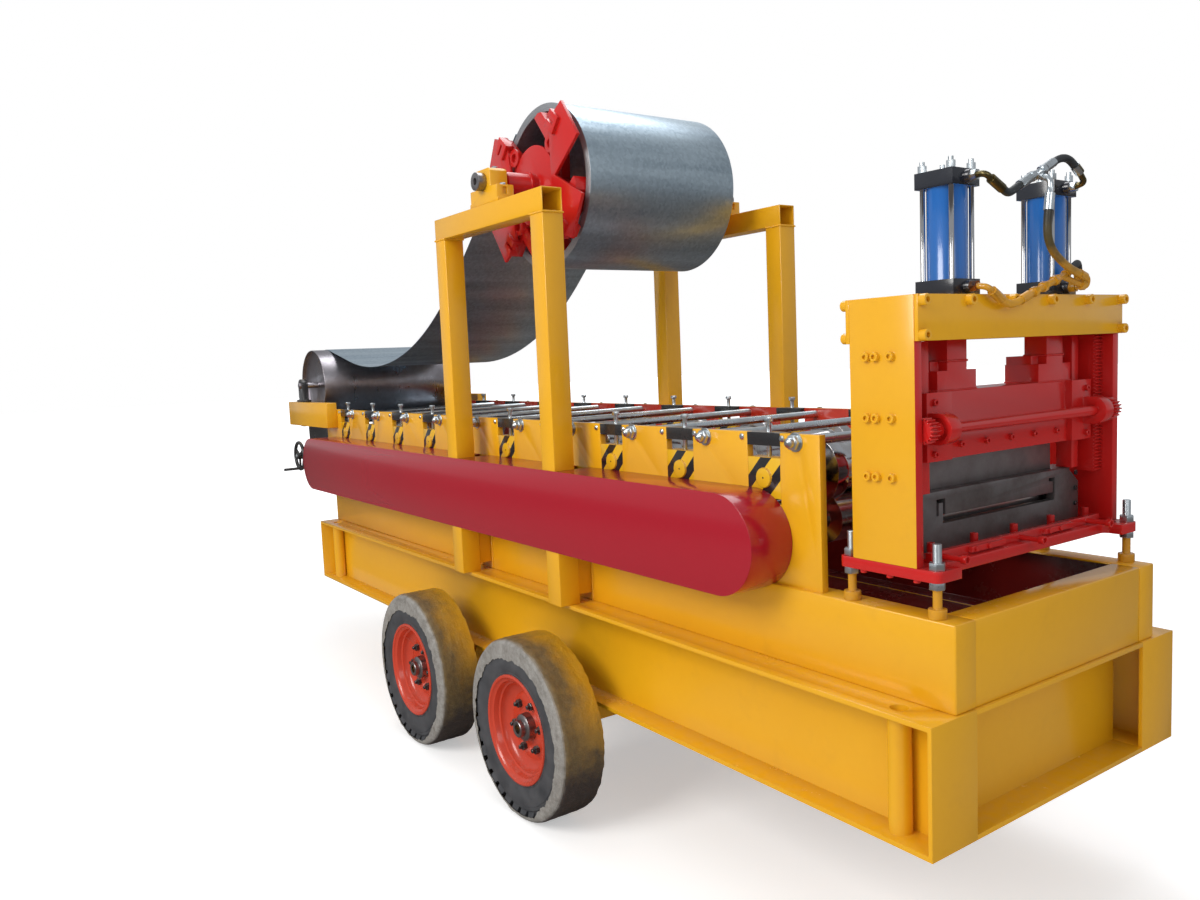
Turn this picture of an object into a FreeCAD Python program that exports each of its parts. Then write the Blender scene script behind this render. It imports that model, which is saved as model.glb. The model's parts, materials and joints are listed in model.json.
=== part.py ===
import FreeCAD
import Part
import math
import os

# Trailer-mounted roll forming machine, millimetres.
# +X runs along the machine towards the cutting press, +Z is up and the origin
# is the middle of the whole machine's footprint, on the ground.
# The near side, with the chain cover, is -Y.

# Running gear
tyre_radius = 353.0
tyre_width = 190.0
tyre_outer_y = 850.0
rim_radius = 213.0
rim_bead_radius = 196.0
rim_disc_thickness = 12.0
rim_disc_inset = 78.0
hub_radius = 52.0
hub_stand_out = 48.0
spindle_radius = 30.0
axle_drop = 110.0
axle_beam_size = 80.0
axle_spacing = 967.0
front_axle_inset = 1708.0
hanger_length = 260.0
hanger_thickness = 16.0
hanger_y = 540.0

# Base frame of rolled I-beams
base_length = 4498.0
base_depth = 350.0
base_half_width = 619.0
beam_flange_width = 190.0
beam_flange = 14.0
beam_web = 10.0
beam_end_plate = 12.0
cross_beam_count = 4
weld_gap = 0.3
socket_radius = 31.5
socket_bore_radius = 24.5
socket_exit_inset = 141.0
socket_entry_inset = 145.0
socket_y = 560.0

# Upper tub frame of folded channel
tub_depth = 235.0
tub_half_width = 507.0
tub_exit_inset = 9.0
tub_flange = 85.0
tub_wall = 8.0
pan_thickness = 5.0

# Roll stand
stand_height = 461.0
stand_exit_inset = 458.0
stand_length = 4154.0
stand_half_width = 493.0
stand_plate = 25.0
station_count = 10
station_pitch = 400.0
last_station_inset = 684.0
slot_width = 141.0
slot_floor = 245.0
slide_clearance = 0.3
lower_shaft_height = 162.0
shaft_spacing = 160.0
shaft_radius = 30.0
shaft_clearance = 0.4
block_depth = 50.0
block_below_shaft = 62.0
block_above_shaft = 63.0
block_cap_radius = 31.0
block_cap_height = 6.0
bridge_height = 40.0
screw_radius = 8.0
screw_stand_out = 46.0
screw_head_radius = 14.0
screw_head_height = 14.0
tie_rod_radius = 15.0
tie_rod_offset = 133.0
tie_rod_drop = 24.0
tie_nut_radius = 24.0
tie_nut_height = 18.0
tie_rod_end = 14.0

# Rolls
nip_radius = 79.5
drum_half_length = 235.0
flange_disc_width = 48.0
first_disc_radius = 92.0
last_disc_radius = 112.0

# Chain cover
cover_length = 4047.0
cover_height = 314.0
cover_exit_inset = 571.0
cover_below_tub_top = 24.0
cover_front_y = 663.0
cover_wall = 3.0
cover_fit = 0.5

# Decoiler over the machine
decoiler_inset = 2081.0
decoiler_post_spacing = 817.0
decoiler_tube = 90.0
decoiler_tube_wall = 5.0
decoiler_front_y = 659.0
decoiler_height = 1582.0
coil_offset = 1.0
coil_shift_y = 25.0
coil_radius = 339.0
coil_bore_radius = 305.0
coil_half_width = 380.0
coil_axis_over_beam = 90.0
post_spacer_lift = 34.0
mandrel_shaft_radius = 30.0
mandrel_shaft_bore = 14.0
mandrel_tube_radius = 48.0
mandrel_collar_radius = 56.0
mandrel_arm_count = 4
mandrel_arm_turn = 49.0
mandrel_arm_width = 50.0
mandrel_pad_length = 700.0
mandrel_pad_turn = 38.0
mandrel_pad_thickness = 14.0
mandrel_hub_radius = 165.0
spider_inner_y = 390.0
hub_plate_y = 422.0
retainer_y = 436.0
retainer_plate = 14.0
pivot_outer_y = 440.0
lug_outer_y = 464.0
lug_radius = 38.0
bearing_width = 80.0
bearing_length = 220.0
bearing_base_plate = 16.0
bearing_foot_height = 50.0
bearing_body_width = 124.0
bearing_over_axis = 50.0
bearing_chamfer = 12.0
shaft_collar_radius = 36.0

# Guide drum at the entry end
entry_overhang = 672.0
cradle_left_inset = 5170.0
cradle_right_inset = 4417.0
cradle_bottom = 348.0
cradle_height = 155.0
cradle_depth = 67.0
cradle_wall = 6.0
guide_drum_inset = 4936.0
guide_drum_radius = 230.0
guide_drum_wall = 6.0
guide_drum_half_length = 458.0
guide_drum_over_cradle = 109.0
guide_shaft_radius = 20.0
drum_bearing_width = 40.0
drum_bearing_length = 180.0
drum_bearing_cap_radius = 42.0
running_gap = 1.0

# Strip
strip_thickness = 2.0
strip_leave_angle = 40.0
strip_drum_angle = 12.5
strip_sag_radius = 1800.0
strip_coil_gap = 6.0
strip_end_inset = 4440.0

# Handwheel of the entry guide
handwheel_beyond_stand = 395.0
handwheel_over_tub = 142.0
handwheel_radius = 100.0
handwheel_rim_radius = 11.0
handwheel_y = 560.0

# Cutting press
press_exit_inset = 122.0
press_length = 210.0
press_half_width = 506.0
press_side_plate = 30.0
press_top = 835.0
press_base_bottom = 97.0
press_base_plate = 30.0
press_base_front_inset = 113.0
press_base_rear_inset = 340.0
head_plate = 12.0
head_top_plate = 26.0
head_depth = 119.0
ear_front_inset = 56.0
ear_rear_inset = 384.0
ear_width = 98.0
ear_corner_radius = 20.0
foot_radius = 12.0
foot_y = 480.0
foot_inset_front = 79.0
foot_inset_rear = 358.0
foot_pad_radius = 24.0
foot_pad_height = 26.0
foot_nut_height = 20.0
foot_nut_radius = 22.0
foot_stand_out = 69.0

# Die and its clamps
die_front_inset = 205.0
die_plate = 28.0
die_gap = 30.0
die_height = 173.0
die_half_width = 425.0
die_corner_width = 60.0
die_corner_height = 48.0
blade_thickness = 20.0
blade_far_y = 320.0
blade_below_die_top = 8.0
blade_seat = 40.0
blade_end_gap = 5.0
profile_near_y = 277.0
profile_far_y = 290.0
profile_floor = 80.0
profile_opening = 24.0
profile_height = 70.0
profile_slit = 11.0
profile_far_hook = 34.0
profile_near_hook = 29.0
profile_lip = 47.0
clamp_bar_front_inset = 137.0
clamp_bar_thickness = 18.0
clamp_bar_height = 26.0
clamp_strip_height = 10.0
clamp_clip_length = 160.0
clamp_clip_y = 182.0
clamp_clip_height = 16.0
clamp_clip_thickness = 12.0
clamp_screw_pitch = 364.5
clamp_screw_shift = -13.5
clamp_screw_stand_out = 78.0
clamp_screw_radius = 8.0
clamp_screw_head_radius = 12.0
clamp_screw_head_length = 16.0

# Ram
ram_front_inset = 180.0
ram_thickness = 110.0
ram_half_width = 350.0
ram_bottom = 393.0
ram_top = 578.0
cheek_inner_y = 301.0
cheek_outer_y = 410.0
cheek_thickness = 23.0
tongue_width = 13.5
tongue_depth = 42.0
ram_bar_height = 72.0
ram_bar_thickness = 6.0
shoe_width = 175.0
shoe_height = 55.0
shoe_step_width = 162.0
shoe_step_height = 25.0
shoe_step_setback = 28.0
clevis_width = 88.0
clevis_height = 97.0
rod_exit_inset = 208.0
rod_y = 244.0
rod_radius = 28.0
rod_above_deck = 100.0

# Equaliser rack and pinion
gear_module = 3.5
pinion_teeth = 18
pressure_angle = 20.0
pinion_width = 32.0
pinion_y = 457.0
pinion_height = 483.0
pinion_hub_radius = 22.0
equaliser_exit_inset = 126.0
equaliser_radius = 15.0
rack_width = 42.0
rack_body = 34.0
rack_bottom = 285.0
rack_top = 715.0
backlash = 0.5
housing_radius = 42.0
housing_width = 44.0
housing_y = 385.0
housing_counterbore_radius = 30.0
housing_counterbore_depth = 4.0
guide_back_inset = 240.0
guide_back_thickness = 15.0
rail_inner_y = 357.0
rail_width = 36.0
rail_height = 36.0
rail_above_die = 2.0

# Hydraulic cylinders
cylinder_cap = 120.0
cylinder_cap_height = 44.0
cylinder_length = 336.0
barrel_radius = 54.0
barrel_bore_radius = 50.0
cylinder_tie_radius = 7.0
cylinder_tie_offset = 45.0
cylinder_tie_stand_out = 30.0
cylinder_nut_height = 19.0
cylinder_nut_radius = 13.0
port_radius = 17.5
port_length = 16.0
port_from_cap_face = 22.0

# Hoses between the cylinders and their fittings
hose_radius = 11.0
ferrule_radius = 13.0
ferrule_grip = 23.0
ferrule_short_grip = 14.0
elbow_radius = 8.5
fitting_nut_radius = 15.0
fitting_nut_length = 18.0

# Places worked out from the sizes above
exit_x = (base_length + entry_overhang) / 2
base_z = tyre_radius + axle_drop
base_top = base_z + base_depth
tub_top = base_top + tub_depth
stand_top = tub_top + stand_height
lower_axis_z = tub_top + lower_shaft_height
upper_axis_z = lower_axis_z + shaft_spacing
block_top_z = upper_axis_z + block_above_shaft
bridge_bottom_z = stand_top - bridge_height
coil_x = exit_x - decoiler_inset + coil_offset
beam_top_z = base_top + decoiler_height
coil_z = beam_top_z + coil_axis_over_beam
cradle_z = tub_top + cradle_bottom
cradle_top = cradle_z + cradle_height
guide_drum_x = exit_x - guide_drum_inset
guide_drum_z = cradle_top + guide_drum_over_cradle
handwheel_x = exit_x - stand_exit_inset - stand_length - handwheel_beyond_stand
handwheel_z = tub_top + handwheel_over_tub
press_front_x = exit_x - press_exit_inset
press_rear_x = press_front_x - press_length
press_deck_z = tub_top + press_base_bottom + press_base_plate
press_top_z = tub_top + press_top
press_inner_y = press_half_width - press_side_plate
die_front_x = exit_x - die_front_inset
die_top_z = press_deck_z + die_height
blade_x = die_front_x - die_plate - die_gap / 2
ram_front_x = exit_x - ram_front_inset
ram_bottom_z = tub_top + ram_bottom
ram_top_z = tub_top + ram_top
ram_rear_x = ram_front_x - ram_thickness
rod_x = exit_x - rod_exit_inset
pinion_pitch_radius = gear_module * pinion_teeth / 2
pinion_x = exit_x - equaliser_exit_inset
pinion_z = tub_top + pinion_height
rack_pitch_x = pinion_x - pinion_pitch_radius
guide_back_x = exit_x - guide_back_inset
guide_face_x = guide_back_x + guide_back_thickness
port_x = rod_x + cylinder_cap / 2 + port_length
port_low_z = press_top_z + port_from_cap_face
port_high_z = press_top_z + cylinder_length - port_from_cap_face
station_x = [
    exit_x - last_station_inset - station_pitch * (station_count - 1 - i)
    for i in range(station_count)
]
sides = (-1, 1)

os.makedirs("parts", exist_ok=True)


# Helpers

def vec(x, y, z):
    return FreeCAD.Vector(x, y, z)


def box(x0, x1, y0, y1, z0, z1):
    low = vec(min(x0, x1), min(y0, y1), min(z0, z1))
    return Part.makeBox(abs(x1 - x0), abs(y1 - y0), abs(z1 - z0), low)


def rod_y_axis(x, y0, y1, z, radius):
    return Part.makeCylinder(radius, abs(y1 - y0), vec(x, min(y0, y1), z), vec(0, 1, 0))


def rod_z_axis(x, y, z0, z1, radius):
    return Part.makeCylinder(radius, abs(z1 - z0), vec(x, y, min(z0, z1)), vec(0, 0, 1))


def rod_x_axis(x0, x1, y, z, radius):
    return Part.makeCylinder(radius, abs(x1 - x0), vec(min(x0, x1), y, z), vec(1, 0, 0))


def prism(points, depth):
    """A closed outline of points pushed along the vector depth."""
    return Part.Face(Part.makePolygon(points + points[:1])).extrude(depth)


def hexagon_z(x, y, z0, height, radius):
    corners = [
        vec(x + radius * math.cos(math.radians(60 * k)), y + radius * math.sin(math.radians(60 * k)), z0)
        for k in range(6)
    ]
    return prism(corners, vec(0, 0, height))


def hexagon_y(x, y0, z, height, radius):
    corners = [
        vec(x + radius * math.cos(math.radians(60 * k)), y0, z + radius * math.sin(math.radians(60 * k)))
        for k in range(6)
    ]
    return prism(corners, vec(0, height, 0))


def turned_y(profile, x, z):
    """A solid of revolution about the Y direction from (y, radius) stations."""
    points = [vec(x, y, z + radius) for y, radius in profile]
    points.insert(0, vec(x, profile[0][0], z))
    points.append(vec(x, profile[-1][0], z))
    return Part.Face(Part.makePolygon(points + points[:1])).revolve(vec(x, 0, z), vec(0, 1, 0), 360)


def ring_y(profile, x, z):
    """A ring of revolution about the Y direction from a closed (y, radius) outline."""
    points = [vec(x, y, z + radius) for y, radius in profile]
    return Part.Face(Part.makePolygon(points + points[:1])).revolve(vec(x, 0, z), vec(0, 1, 0), 360)


def fuse(shapes):
    return shapes[0].multiFuse(shapes[1:]).removeSplitter()


def save(name, shapes):
    shapes = shapes if isinstance(shapes, list) else [shapes]
    solids = [solid for shape in shapes for solid in shape.Solids]
    shape = solids[0] if len(solids) == 1 else Part.makeCompound(solids)
    shape.exportStep(f"parts/{name}.step")


# Base frame

def i_section(width, depth):
    half, web = width / 2, beam_web / 2
    return [
        (-half, 0), (half, 0), (half, beam_flange), (web, beam_flange),
        (web, depth - beam_flange), (half, depth - beam_flange), (half, depth), (-half, depth),
        (-half, depth - beam_flange), (-web, depth - beam_flange), (-web, beam_flange), (-half, beam_flange),
    ]


def long_beam(side):
    y = side * (base_half_width - beam_flange_width / 2)
    left = exit_x - base_length
    points = [vec(left, y + a, base_z + b) for a, b in i_section(beam_flange_width, base_depth)]
    beam = prism(points, vec(base_length, 0, 0))
    pieces = [beam]
    for x in (left, exit_x - beam_end_plate):
        pieces.append(box(x, x + beam_end_plate, y - beam_flange_width / 2, y + beam_flange_width / 2,
                          base_z, base_top))
    socket_x = (exit_x - socket_exit_inset, left + socket_entry_inset)
    for x in socket_x:
        pieces.append(rod_z_axis(x, side * socket_y, base_z, base_top, socket_radius))
    beam = fuse(pieces)
    for x in socket_x:
        beam = beam.cut(rod_z_axis(x, side * socket_y, base_z, base_top, socket_bore_radius))
    return beam


def cross_beams():
    half_length = base_half_width - beam_flange_width - weld_gap
    first = exit_x - base_length + beam_flange_width / 2
    last = exit_x - beam_flange_width / 2
    beams = []
    for i in range(cross_beam_count):
        x = first + (last - first) * i / (cross_beam_count - 1)
        points = [vec(x + a, -half_length, base_z + b) for a, b in i_section(beam_flange_width, base_depth)]
        beams.append(prism(points, vec(0, 2 * half_length, 0)))
    return beams


def base_frame():
    save("base_frame", [long_beam(side) for side in sides] + cross_beams())


# Tub frame

def channel_section(depth):
    return [
        (0, 0), (tub_flange, 0), (tub_flange, tub_wall), (tub_wall, tub_wall),
        (tub_wall, depth - tub_wall), (tub_flange, depth - tub_wall), (tub_flange, depth), (0, depth),
    ]


def tub_frame():
    left = exit_x - base_length
    right = exit_x - tub_exit_inset
    rails = []
    for side in sides:
        points = [vec(left, side * (tub_half_width - a), base_top + b) for a, b in channel_section(tub_depth)]
        rails.append(prism(points, vec(right - left, 0, 0)))
    half = tub_half_width - tub_flange - weld_gap
    for x, inward in ((left, 1), (right, -1)):
        points = [vec(x + inward * a, -half, base_top + b) for a, b in channel_section(tub_depth)]
        rails.append(prism(points, vec(0, 2 * half, 0)))
    save("tub_frame", rails)
    pan_half = tub_half_width - tub_flange - 2 * weld_gap
    save("tub_floor", box(left + tub_flange + weld_gap, right - tub_flange - weld_gap,
                          -pan_half, pan_half, base_top, base_top + pan_thickness))


# Running gear

def axle_x(index):
    return exit_x - front_axle_inset - axle_spacing * index


def axles():
    solids = []
    half = axle_beam_size / 2
    beam_end = tyre_outer_y - tyre_width - 30
    for index in range(2):
        x = axle_x(index)
        z = tyre_radius
        axle = [box(x - half, x + half, -beam_end, beam_end, z - half, z + half)]
        spindle_end = tyre_outer_y - hub_stand_out
        axle.append(rod_y_axis(x, -spindle_end, spindle_end, z, spindle_radius))
        for side in sides:
            y = side * hanger_y
            lower = half + 20
            points = [
                vec(x - hanger_length / 2, y, base_z), vec(x - lower, y, z - half),
                vec(x + lower, y, z - half), vec(x + hanger_length / 2, y, base_z),
            ]
            axle.append(prism(points, vec(0, side * hanger_thickness, 0)))
        solids.append(fuse(axle))
    save("axles", solids)


def wheel(x, side):
    """Tyre, dished rim and hub turned as one outline round the spindle."""
    outer = tyre_outer_y
    inner = outer - tyre_width
    disc = outer - rim_disc_inset
    shoulder = 26.0
    bore = spindle_radius + shaft_clearance
    outline = [
        (inner + 12, bore), (disc + hub_stand_out, bore), (disc + hub_stand_out, hub_radius),
        (disc, hub_radius), (disc, rim_bead_radius - 6), (outer - 14, rim_bead_radius),
        (outer - 14, rim_radius), (outer, rim_radius + 45), (outer - 4, tyre_radius - shoulder),
        (outer - shoulder, tyre_radius), (inner + shoulder, tyre_radius), (inner + 4, tyre_radius - shoulder),
        (inner, rim_radius + 45), (inner + 14, rim_radius), (inner + 14, rim_bead_radius - 6),
        (disc - rim_disc_thickness, rim_bead_radius - 6), (disc - rim_disc_thickness, hub_radius),
        (inner + 12, hub_radius),
    ]
    return ring_y([(side * y, radius) for y, radius in outline], x, tyre_radius)


def wheels():
    for index, place in enumerate(("front", "rear")):
        for side, hand in ((-1, "near"), (1, "far")):
            save(f"wheel_{place}_{hand}", wheel(axle_x(index), side))


# Roll stand

def side_plate(side):
    right = exit_x - stand_exit_inset
    left = right - stand_length
    outer = side * stand_half_width
    inner = side * (stand_half_width - stand_plate)
    points = [vec(left, outer, tub_top), vec(right, outer, tub_top), vec(right, outer, stand_top)]
    half = slot_width / 2
    for x in reversed(station_x):
        points += [vec(x + half, outer, stand_top), vec(x + half, outer, tub_top + slot_floor)]
        points += [vec(x - half, outer, tub_top + slot_floor), vec(x - half, outer, stand_top)]
    points.append(vec(left, outer, stand_top))
    plate = prism(points, vec(0, inner - outer, 0))
    holes = []
    for x in station_x:
        holes.append(rod_y_axis(x, outer, inner, lower_axis_z, shaft_radius + shaft_clearance))
        holes.append(rod_y_axis(x + tie_rod_offset, outer, inner, stand_top - tie_rod_drop,
                                tie_rod_radius + slide_clearance))
    return plate.cut(Part.makeCompound(holes))


def bearing_block(x, side):
    half = slot_width / 2 - slide_clearance
    outer = side * stand_half_width
    inner = side * (stand_half_width - block_depth)
    block = box(x - half, x + half, outer, inner, upper_axis_z - block_below_shaft, block_top_z)
    cap = rod_y_axis(x, outer, outer + side * block_cap_height, upper_axis_z, block_cap_radius)
    bore_end = outer - side * stand_plate / 2
    bore = rod_y_axis(x, bore_end, inner, upper_axis_z, shaft_radius + shaft_clearance)
    return fuse([block, cap]).cut(bore)


def slot_bridge(x, side):
    """Bridge across a slot with the adjusting screw that bears on the block below."""
    half = slot_width / 2 - slide_clearance
    outer = side * stand_half_width
    inner = side * (stand_half_width - block_depth)
    y = (outer + inner) / 2
    bridge = box(x - half, x + half, outer, inner, bridge_bottom_z, stand_top)
    screw = rod_z_axis(x, y, block_top_z + slide_clearance, stand_top + screw_stand_out, screw_radius)
    head = hexagon_z(x, y, stand_top + screw_stand_out - screw_head_height, screw_head_height,
                     screw_head_radius)
    return fuse([bridge, screw, head])


def tie_rod(x):
    z = stand_top - tie_rod_drop
    end = stand_half_width + tie_nut_height + tie_rod_end
    pieces = [rod_y_axis(x + tie_rod_offset, -end, end, z, tie_rod_radius)]
    for side in sides:
        y = side * (stand_half_width + slide_clearance)
        pieces.append(hexagon_y(x + tie_rod_offset, y, z, side * tie_nut_height, tie_nut_radius))
    return fuse(pieces)


def roll_stand():
    save("side_plates", [side_plate(side) for side in sides])
    save("bearing_blocks", [bearing_block(x, side) for x in station_x for side in sides])
    save("slot_bridges", [slot_bridge(x, side) for x in station_x for side in sides])
    save("tie_rods", [tie_rod(x) for x in station_x])


def disc_radius(index):
    """The flange discs grow from the first station to the last."""
    share = index / (station_count - 1)
    return first_disc_radius + (last_disc_radius - first_disc_radius) * share


def upper_roll(index):
    half = drum_half_length
    disc = disc_radius(index)
    end = stand_half_width - stand_plate / 2 - slide_clearance
    flange = half + flange_disc_width
    profile = [
        (-end, shaft_radius), (-flange, shaft_radius), (-flange, disc), (-half, disc), (-half, nip_radius),
        (half, nip_radius), (half, disc), (flange, disc), (flange, shaft_radius), (end, shaft_radius),
    ]
    return turned_y(profile, station_x[index], upper_axis_z)


def lower_roll(index):
    half = drum_half_length - 1
    end = stand_half_width + 8
    profile = [
        (-end, shaft_radius), (-half, shaft_radius), (-half, nip_radius),
        (half, nip_radius), (half, shaft_radius), (end, shaft_radius),
    ]
    return turned_y(profile, station_x[index], lower_axis_z)


def rolls():
    for index in range(station_count):
        save(f"upper_roll_{index + 1:02d}", upper_roll(index))
        save(f"lower_roll_{index + 1:02d}", lower_roll(index))


# Chain cover

def stadium(x0, x1, z, radius, y, depth):
    """A round-ended outline between the end centres x0 and x1, pushed along Y."""
    bottom = Part.LineSegment(vec(x0, y, z - radius), vec(x1, y, z - radius))
    right = Part.Arc(vec(x1, y, z - radius), vec(x1 + radius, y, z), vec(x1, y, z + radius))
    top = Part.LineSegment(vec(x1, y, z + radius), vec(x0, y, z + radius))
    left = Part.Arc(vec(x0, y, z + radius), vec(x0 - radius, y, z), vec(x0, y, z - radius))
    wire = Part.Wire([edge.toShape() for edge in (bottom, right, top, left)])
    return Part.Face(wire).extrude(vec(0, depth, 0))


def post_x():
    middle = exit_x - decoiler_inset
    return middle - decoiler_post_spacing / 2, middle + decoiler_post_spacing / 2


def chain_cover():
    radius = cover_height / 2
    x1 = exit_x - cover_exit_inset - radius
    x0 = exit_x - cover_exit_inset - cover_length + radius
    z = tub_top - cover_below_tub_top + radius
    front = -cover_front_y
    back = -stand_half_width - cover_fit
    shell = stadium(x0, x1, z, radius, front, back - front)
    shell = shell.cut(stadium(x0, x1, z, radius - cover_wall, front + cover_wall, back - front))
    cuts = [box(x0 - radius, x1 + radius, -tub_half_width - cover_fit, back, 0, tub_top + cover_fit)]
    half = decoiler_tube / 2 + cover_fit
    for x in post_x():
        cuts.append(box(x - half, x + half, -decoiler_front_y - cover_fit, back,
                        z - 2 * radius, z + 2 * radius))
    save("chain_cover", shell.cut(Part.makeCompound(cuts)))


# Decoiler

def square_tube(x0, x1, y0, y1, z0, z1, bore):
    return box(x0, x1, y0, y1, z0, z1).cut(bore)


def decoiler_stand():
    posts = []
    beams = []
    half = decoiler_tube / 2
    wall = decoiler_tube_wall
    beam_z = beam_top_z - decoiler_tube
    for side in sides:
        outer = side * decoiler_front_y
        inner = side * (decoiler_front_y - decoiler_tube)
        bore_outer = outer - side * wall
        bore_inner = inner + side * wall
        for x in post_x():
            post_top = beam_z - weld_gap
            bore = box(x - half + wall, x + half - wall, bore_outer, bore_inner, base_top, post_top)
            post = square_tube(x - half, x + half, outer, inner, base_top, post_top, bore)
            spacer = box(x - half + wall, x + half - wall, inner, side * (tub_half_width + weld_gap),
                         base_top + post_spacer_lift, tub_top)
            posts.append(fuse([post, spacer]))
        x0 = post_x()[0] - half
        x1 = post_x()[1] + half
        bore = box(x0, x1, bore_outer, bore_inner, beam_z + wall, beam_top_z - wall)
        beams.append(square_tube(x0, x1, outer, inner, beam_z, beam_top_z, bore))
    save("decoiler_frame", posts + beams)


def pillow_block(x, y, z_base, z_axis, radius, length, width, bore):
    """Cast plummer block: a foot, tapering shoulders and a round top about the bore."""
    foot = 16.0
    half = length / 2
    points = [
        vec(x - half, y - width / 2, z_base), vec(x + half, y - width / 2, z_base),
        vec(x + half, y - width / 2, z_base + foot), vec(x + radius, y - width / 2, z_base + foot),
        vec(x + radius, y - width / 2, z_axis), vec(x - radius, y - width / 2, z_axis),
        vec(x - radius, y - width / 2, z_base + foot), vec(x - half, y - width / 2, z_base + foot),
    ]
    body = prism(points, vec(0, width, 0))
    top = rod_y_axis(x, y - width / 2, y + width / 2, z_axis, radius)
    return fuse([body, top]).cut(rod_y_axis(x, y - width, y + width, z_axis, bore))


def split_bearing(side):
    """Blocky split bearing: a wide foot with a pocket in each end and a chamfered top."""
    y = side * (decoiler_front_y - decoiler_tube / 2)
    back = y - bearing_width / 2
    foot = bearing_length / 2
    body = bearing_body_width / 2
    top = coil_z + bearing_over_axis
    seat = beam_top_z + bearing_base_plate
    shoulder = seat + bearing_foot_height
    half_outline = [
        (foot + 8, beam_top_z), (foot + 8, seat), (foot, seat), (foot, shoulder), (body, shoulder),
        (body, top - bearing_chamfer), (body - bearing_chamfer, top),
    ]
    points = [vec(coil_x + x, back, z) for x, z in half_outline]
    points += [vec(coil_x - x, back, z) for x, z in reversed(half_outline)]
    block = prism(points, vec(0, bearing_width, 0))
    cuts = [rod_y_axis(coil_x, back, back + bearing_width, coil_z, mandrel_shaft_radius + shaft_clearance)]
    for end in (-foot, foot - 12):
        cuts.append(box(coil_x + end, coil_x + end + 12, y - 9, y + 9, shoulder - 36, shoulder - 8))
    return block.cut(Part.makeCompound(cuts))


def mandrel_bearings():
    save("mandrel_bearings", [split_bearing(side) for side in sides])


def along_arm(outline, y0, y1):
    """A plate from (out along the arm, across it) corners, before the arm is turned."""
    points = [vec(coil_x + out, y0, coil_z + across) for out, across in outline]
    return prism(points, vec(0, y1 - y0, 0))


def spider_arm(side, hand):
    """One end of an arm: bar, kite-shaped retainer, pivot lug, clamp lug and hooked link."""
    half = mandrel_arm_width / 2
    back = side * hub_plate_y
    front = side * lug_outer_y
    pivot_front = side * pivot_outer_y
    bar = along_arm([(0, -half), (335, -half), (335, half), (0, half)], side * spider_inner_y, back)
    kite = along_arm([(101, hand * 124), (340, hand * 177), (384, 0), (276, -hand * 38)],
                     side * retainer_y, side * (retainer_y + retainer_plate))
    pivot = rod_y_axis(coil_x + 205, back, pivot_front, coil_z - 10, lug_radius)
    socket = rod_y_axis(coil_x + 205, pivot_front - side * 16, pivot_front, coil_z - 10, lug_radius / 2)
    clamp = along_arm([(256, -38), (330, -38), (330, 32), (256, 32)], back, front)
    notch = along_arm([(286, -20), (300, -20), (300, 32), (286, 32)], front - side * 24, front)
    link = along_arm([(176, -16), (236, -16), (258, 146), (240, 168), (212, 178)],
                     side * (coil_half_width - 40), back)
    return [bar, kite.fuse(pivot).cut(socket), clamp.cut(notch), link]


def mandrel():
    """Expanding mandrel: shaft, bore pads on their struts and a four-armed spider at each end."""
    shaft_end = decoiler_front_y + 30
    tube_end = decoiler_front_y - decoiler_tube - 12
    pad_radius = coil_bore_radius - slide_clearance
    half_pad = mandrel_pad_length / 2
    ring = rod_y_axis(coil_x, -half_pad, half_pad, coil_z, pad_radius)
    ring = ring.cut(rod_y_axis(coil_x, -half_pad, half_pad, coil_z, pad_radius - mandrel_pad_thickness))
    pad = ring.common(box(coil_x, coil_x + 2 * coil_radius, -half_pad, half_pad, coil_z - 55, coil_z + 55))
    struts = [box(coil_x, coil_x + pad_radius - 6, y - 22, y + 22, coil_z - 22, coil_z + 22)
              for y in (60 - half_pad, half_pad - 60)]
    spider = [rod_y_axis(coil_x, side * hub_plate_y, side * retainer_y, coil_z, mandrel_hub_radius)
              for side in sides]
    centre = vec(coil_x, 0, coil_z)
    for index in range(mandrel_arm_count):
        turn = -mandrel_arm_turn - 360 * index / mandrel_arm_count
        hand = 1 if index % 2 else -1
        for shape in [pad.copy()] + [strut.copy() for strut in struts]:
            spider.append(shape.rotate(centre, vec(0, 1, 0), turn - mandrel_pad_turn))
        for shape in spider_arm(-1, hand) + spider_arm(1, hand):
            spider.append(shape.rotate(centre, vec(0, 1, 0), turn))
    pieces = [
        rod_y_axis(coil_x, -shaft_end, shaft_end, coil_z, mandrel_shaft_radius),
        rod_y_axis(coil_x, -tube_end, tube_end, coil_z, mandrel_tube_radius),
    ]
    pieces += [shape.translate(vec(0, coil_shift_y, 0)) for shape in spider]
    bores = []
    for side in sides:
        hub_end = coil_shift_y + side * lug_outer_y
        collar = side * (decoiler_front_y - decoiler_tube / 2 + bearing_width / 2 + running_gap)
        pieces.append(rod_y_axis(coil_x, hub_end, hub_end + side * 12, coil_z, mandrel_collar_radius))
        pieces.append(rod_y_axis(coil_x, collar, side * shaft_end, coil_z, shaft_collar_radius))
        bores.append(rod_y_axis(coil_x, side * (shaft_end - 60), side * shaft_end, coil_z,
                                mandrel_shaft_bore))
    save("mandrel", fuse(pieces).cut(Part.makeCompound(bores)))


def coil():
    near = coil_shift_y - coil_half_width
    far = coil_shift_y + coil_half_width
    profile = [(near, coil_bore_radius), (far, coil_bore_radius), (far, coil_radius), (near, coil_radius)]
    save("coil", ring_y(profile, coil_x, coil_z))


# Strip

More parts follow.
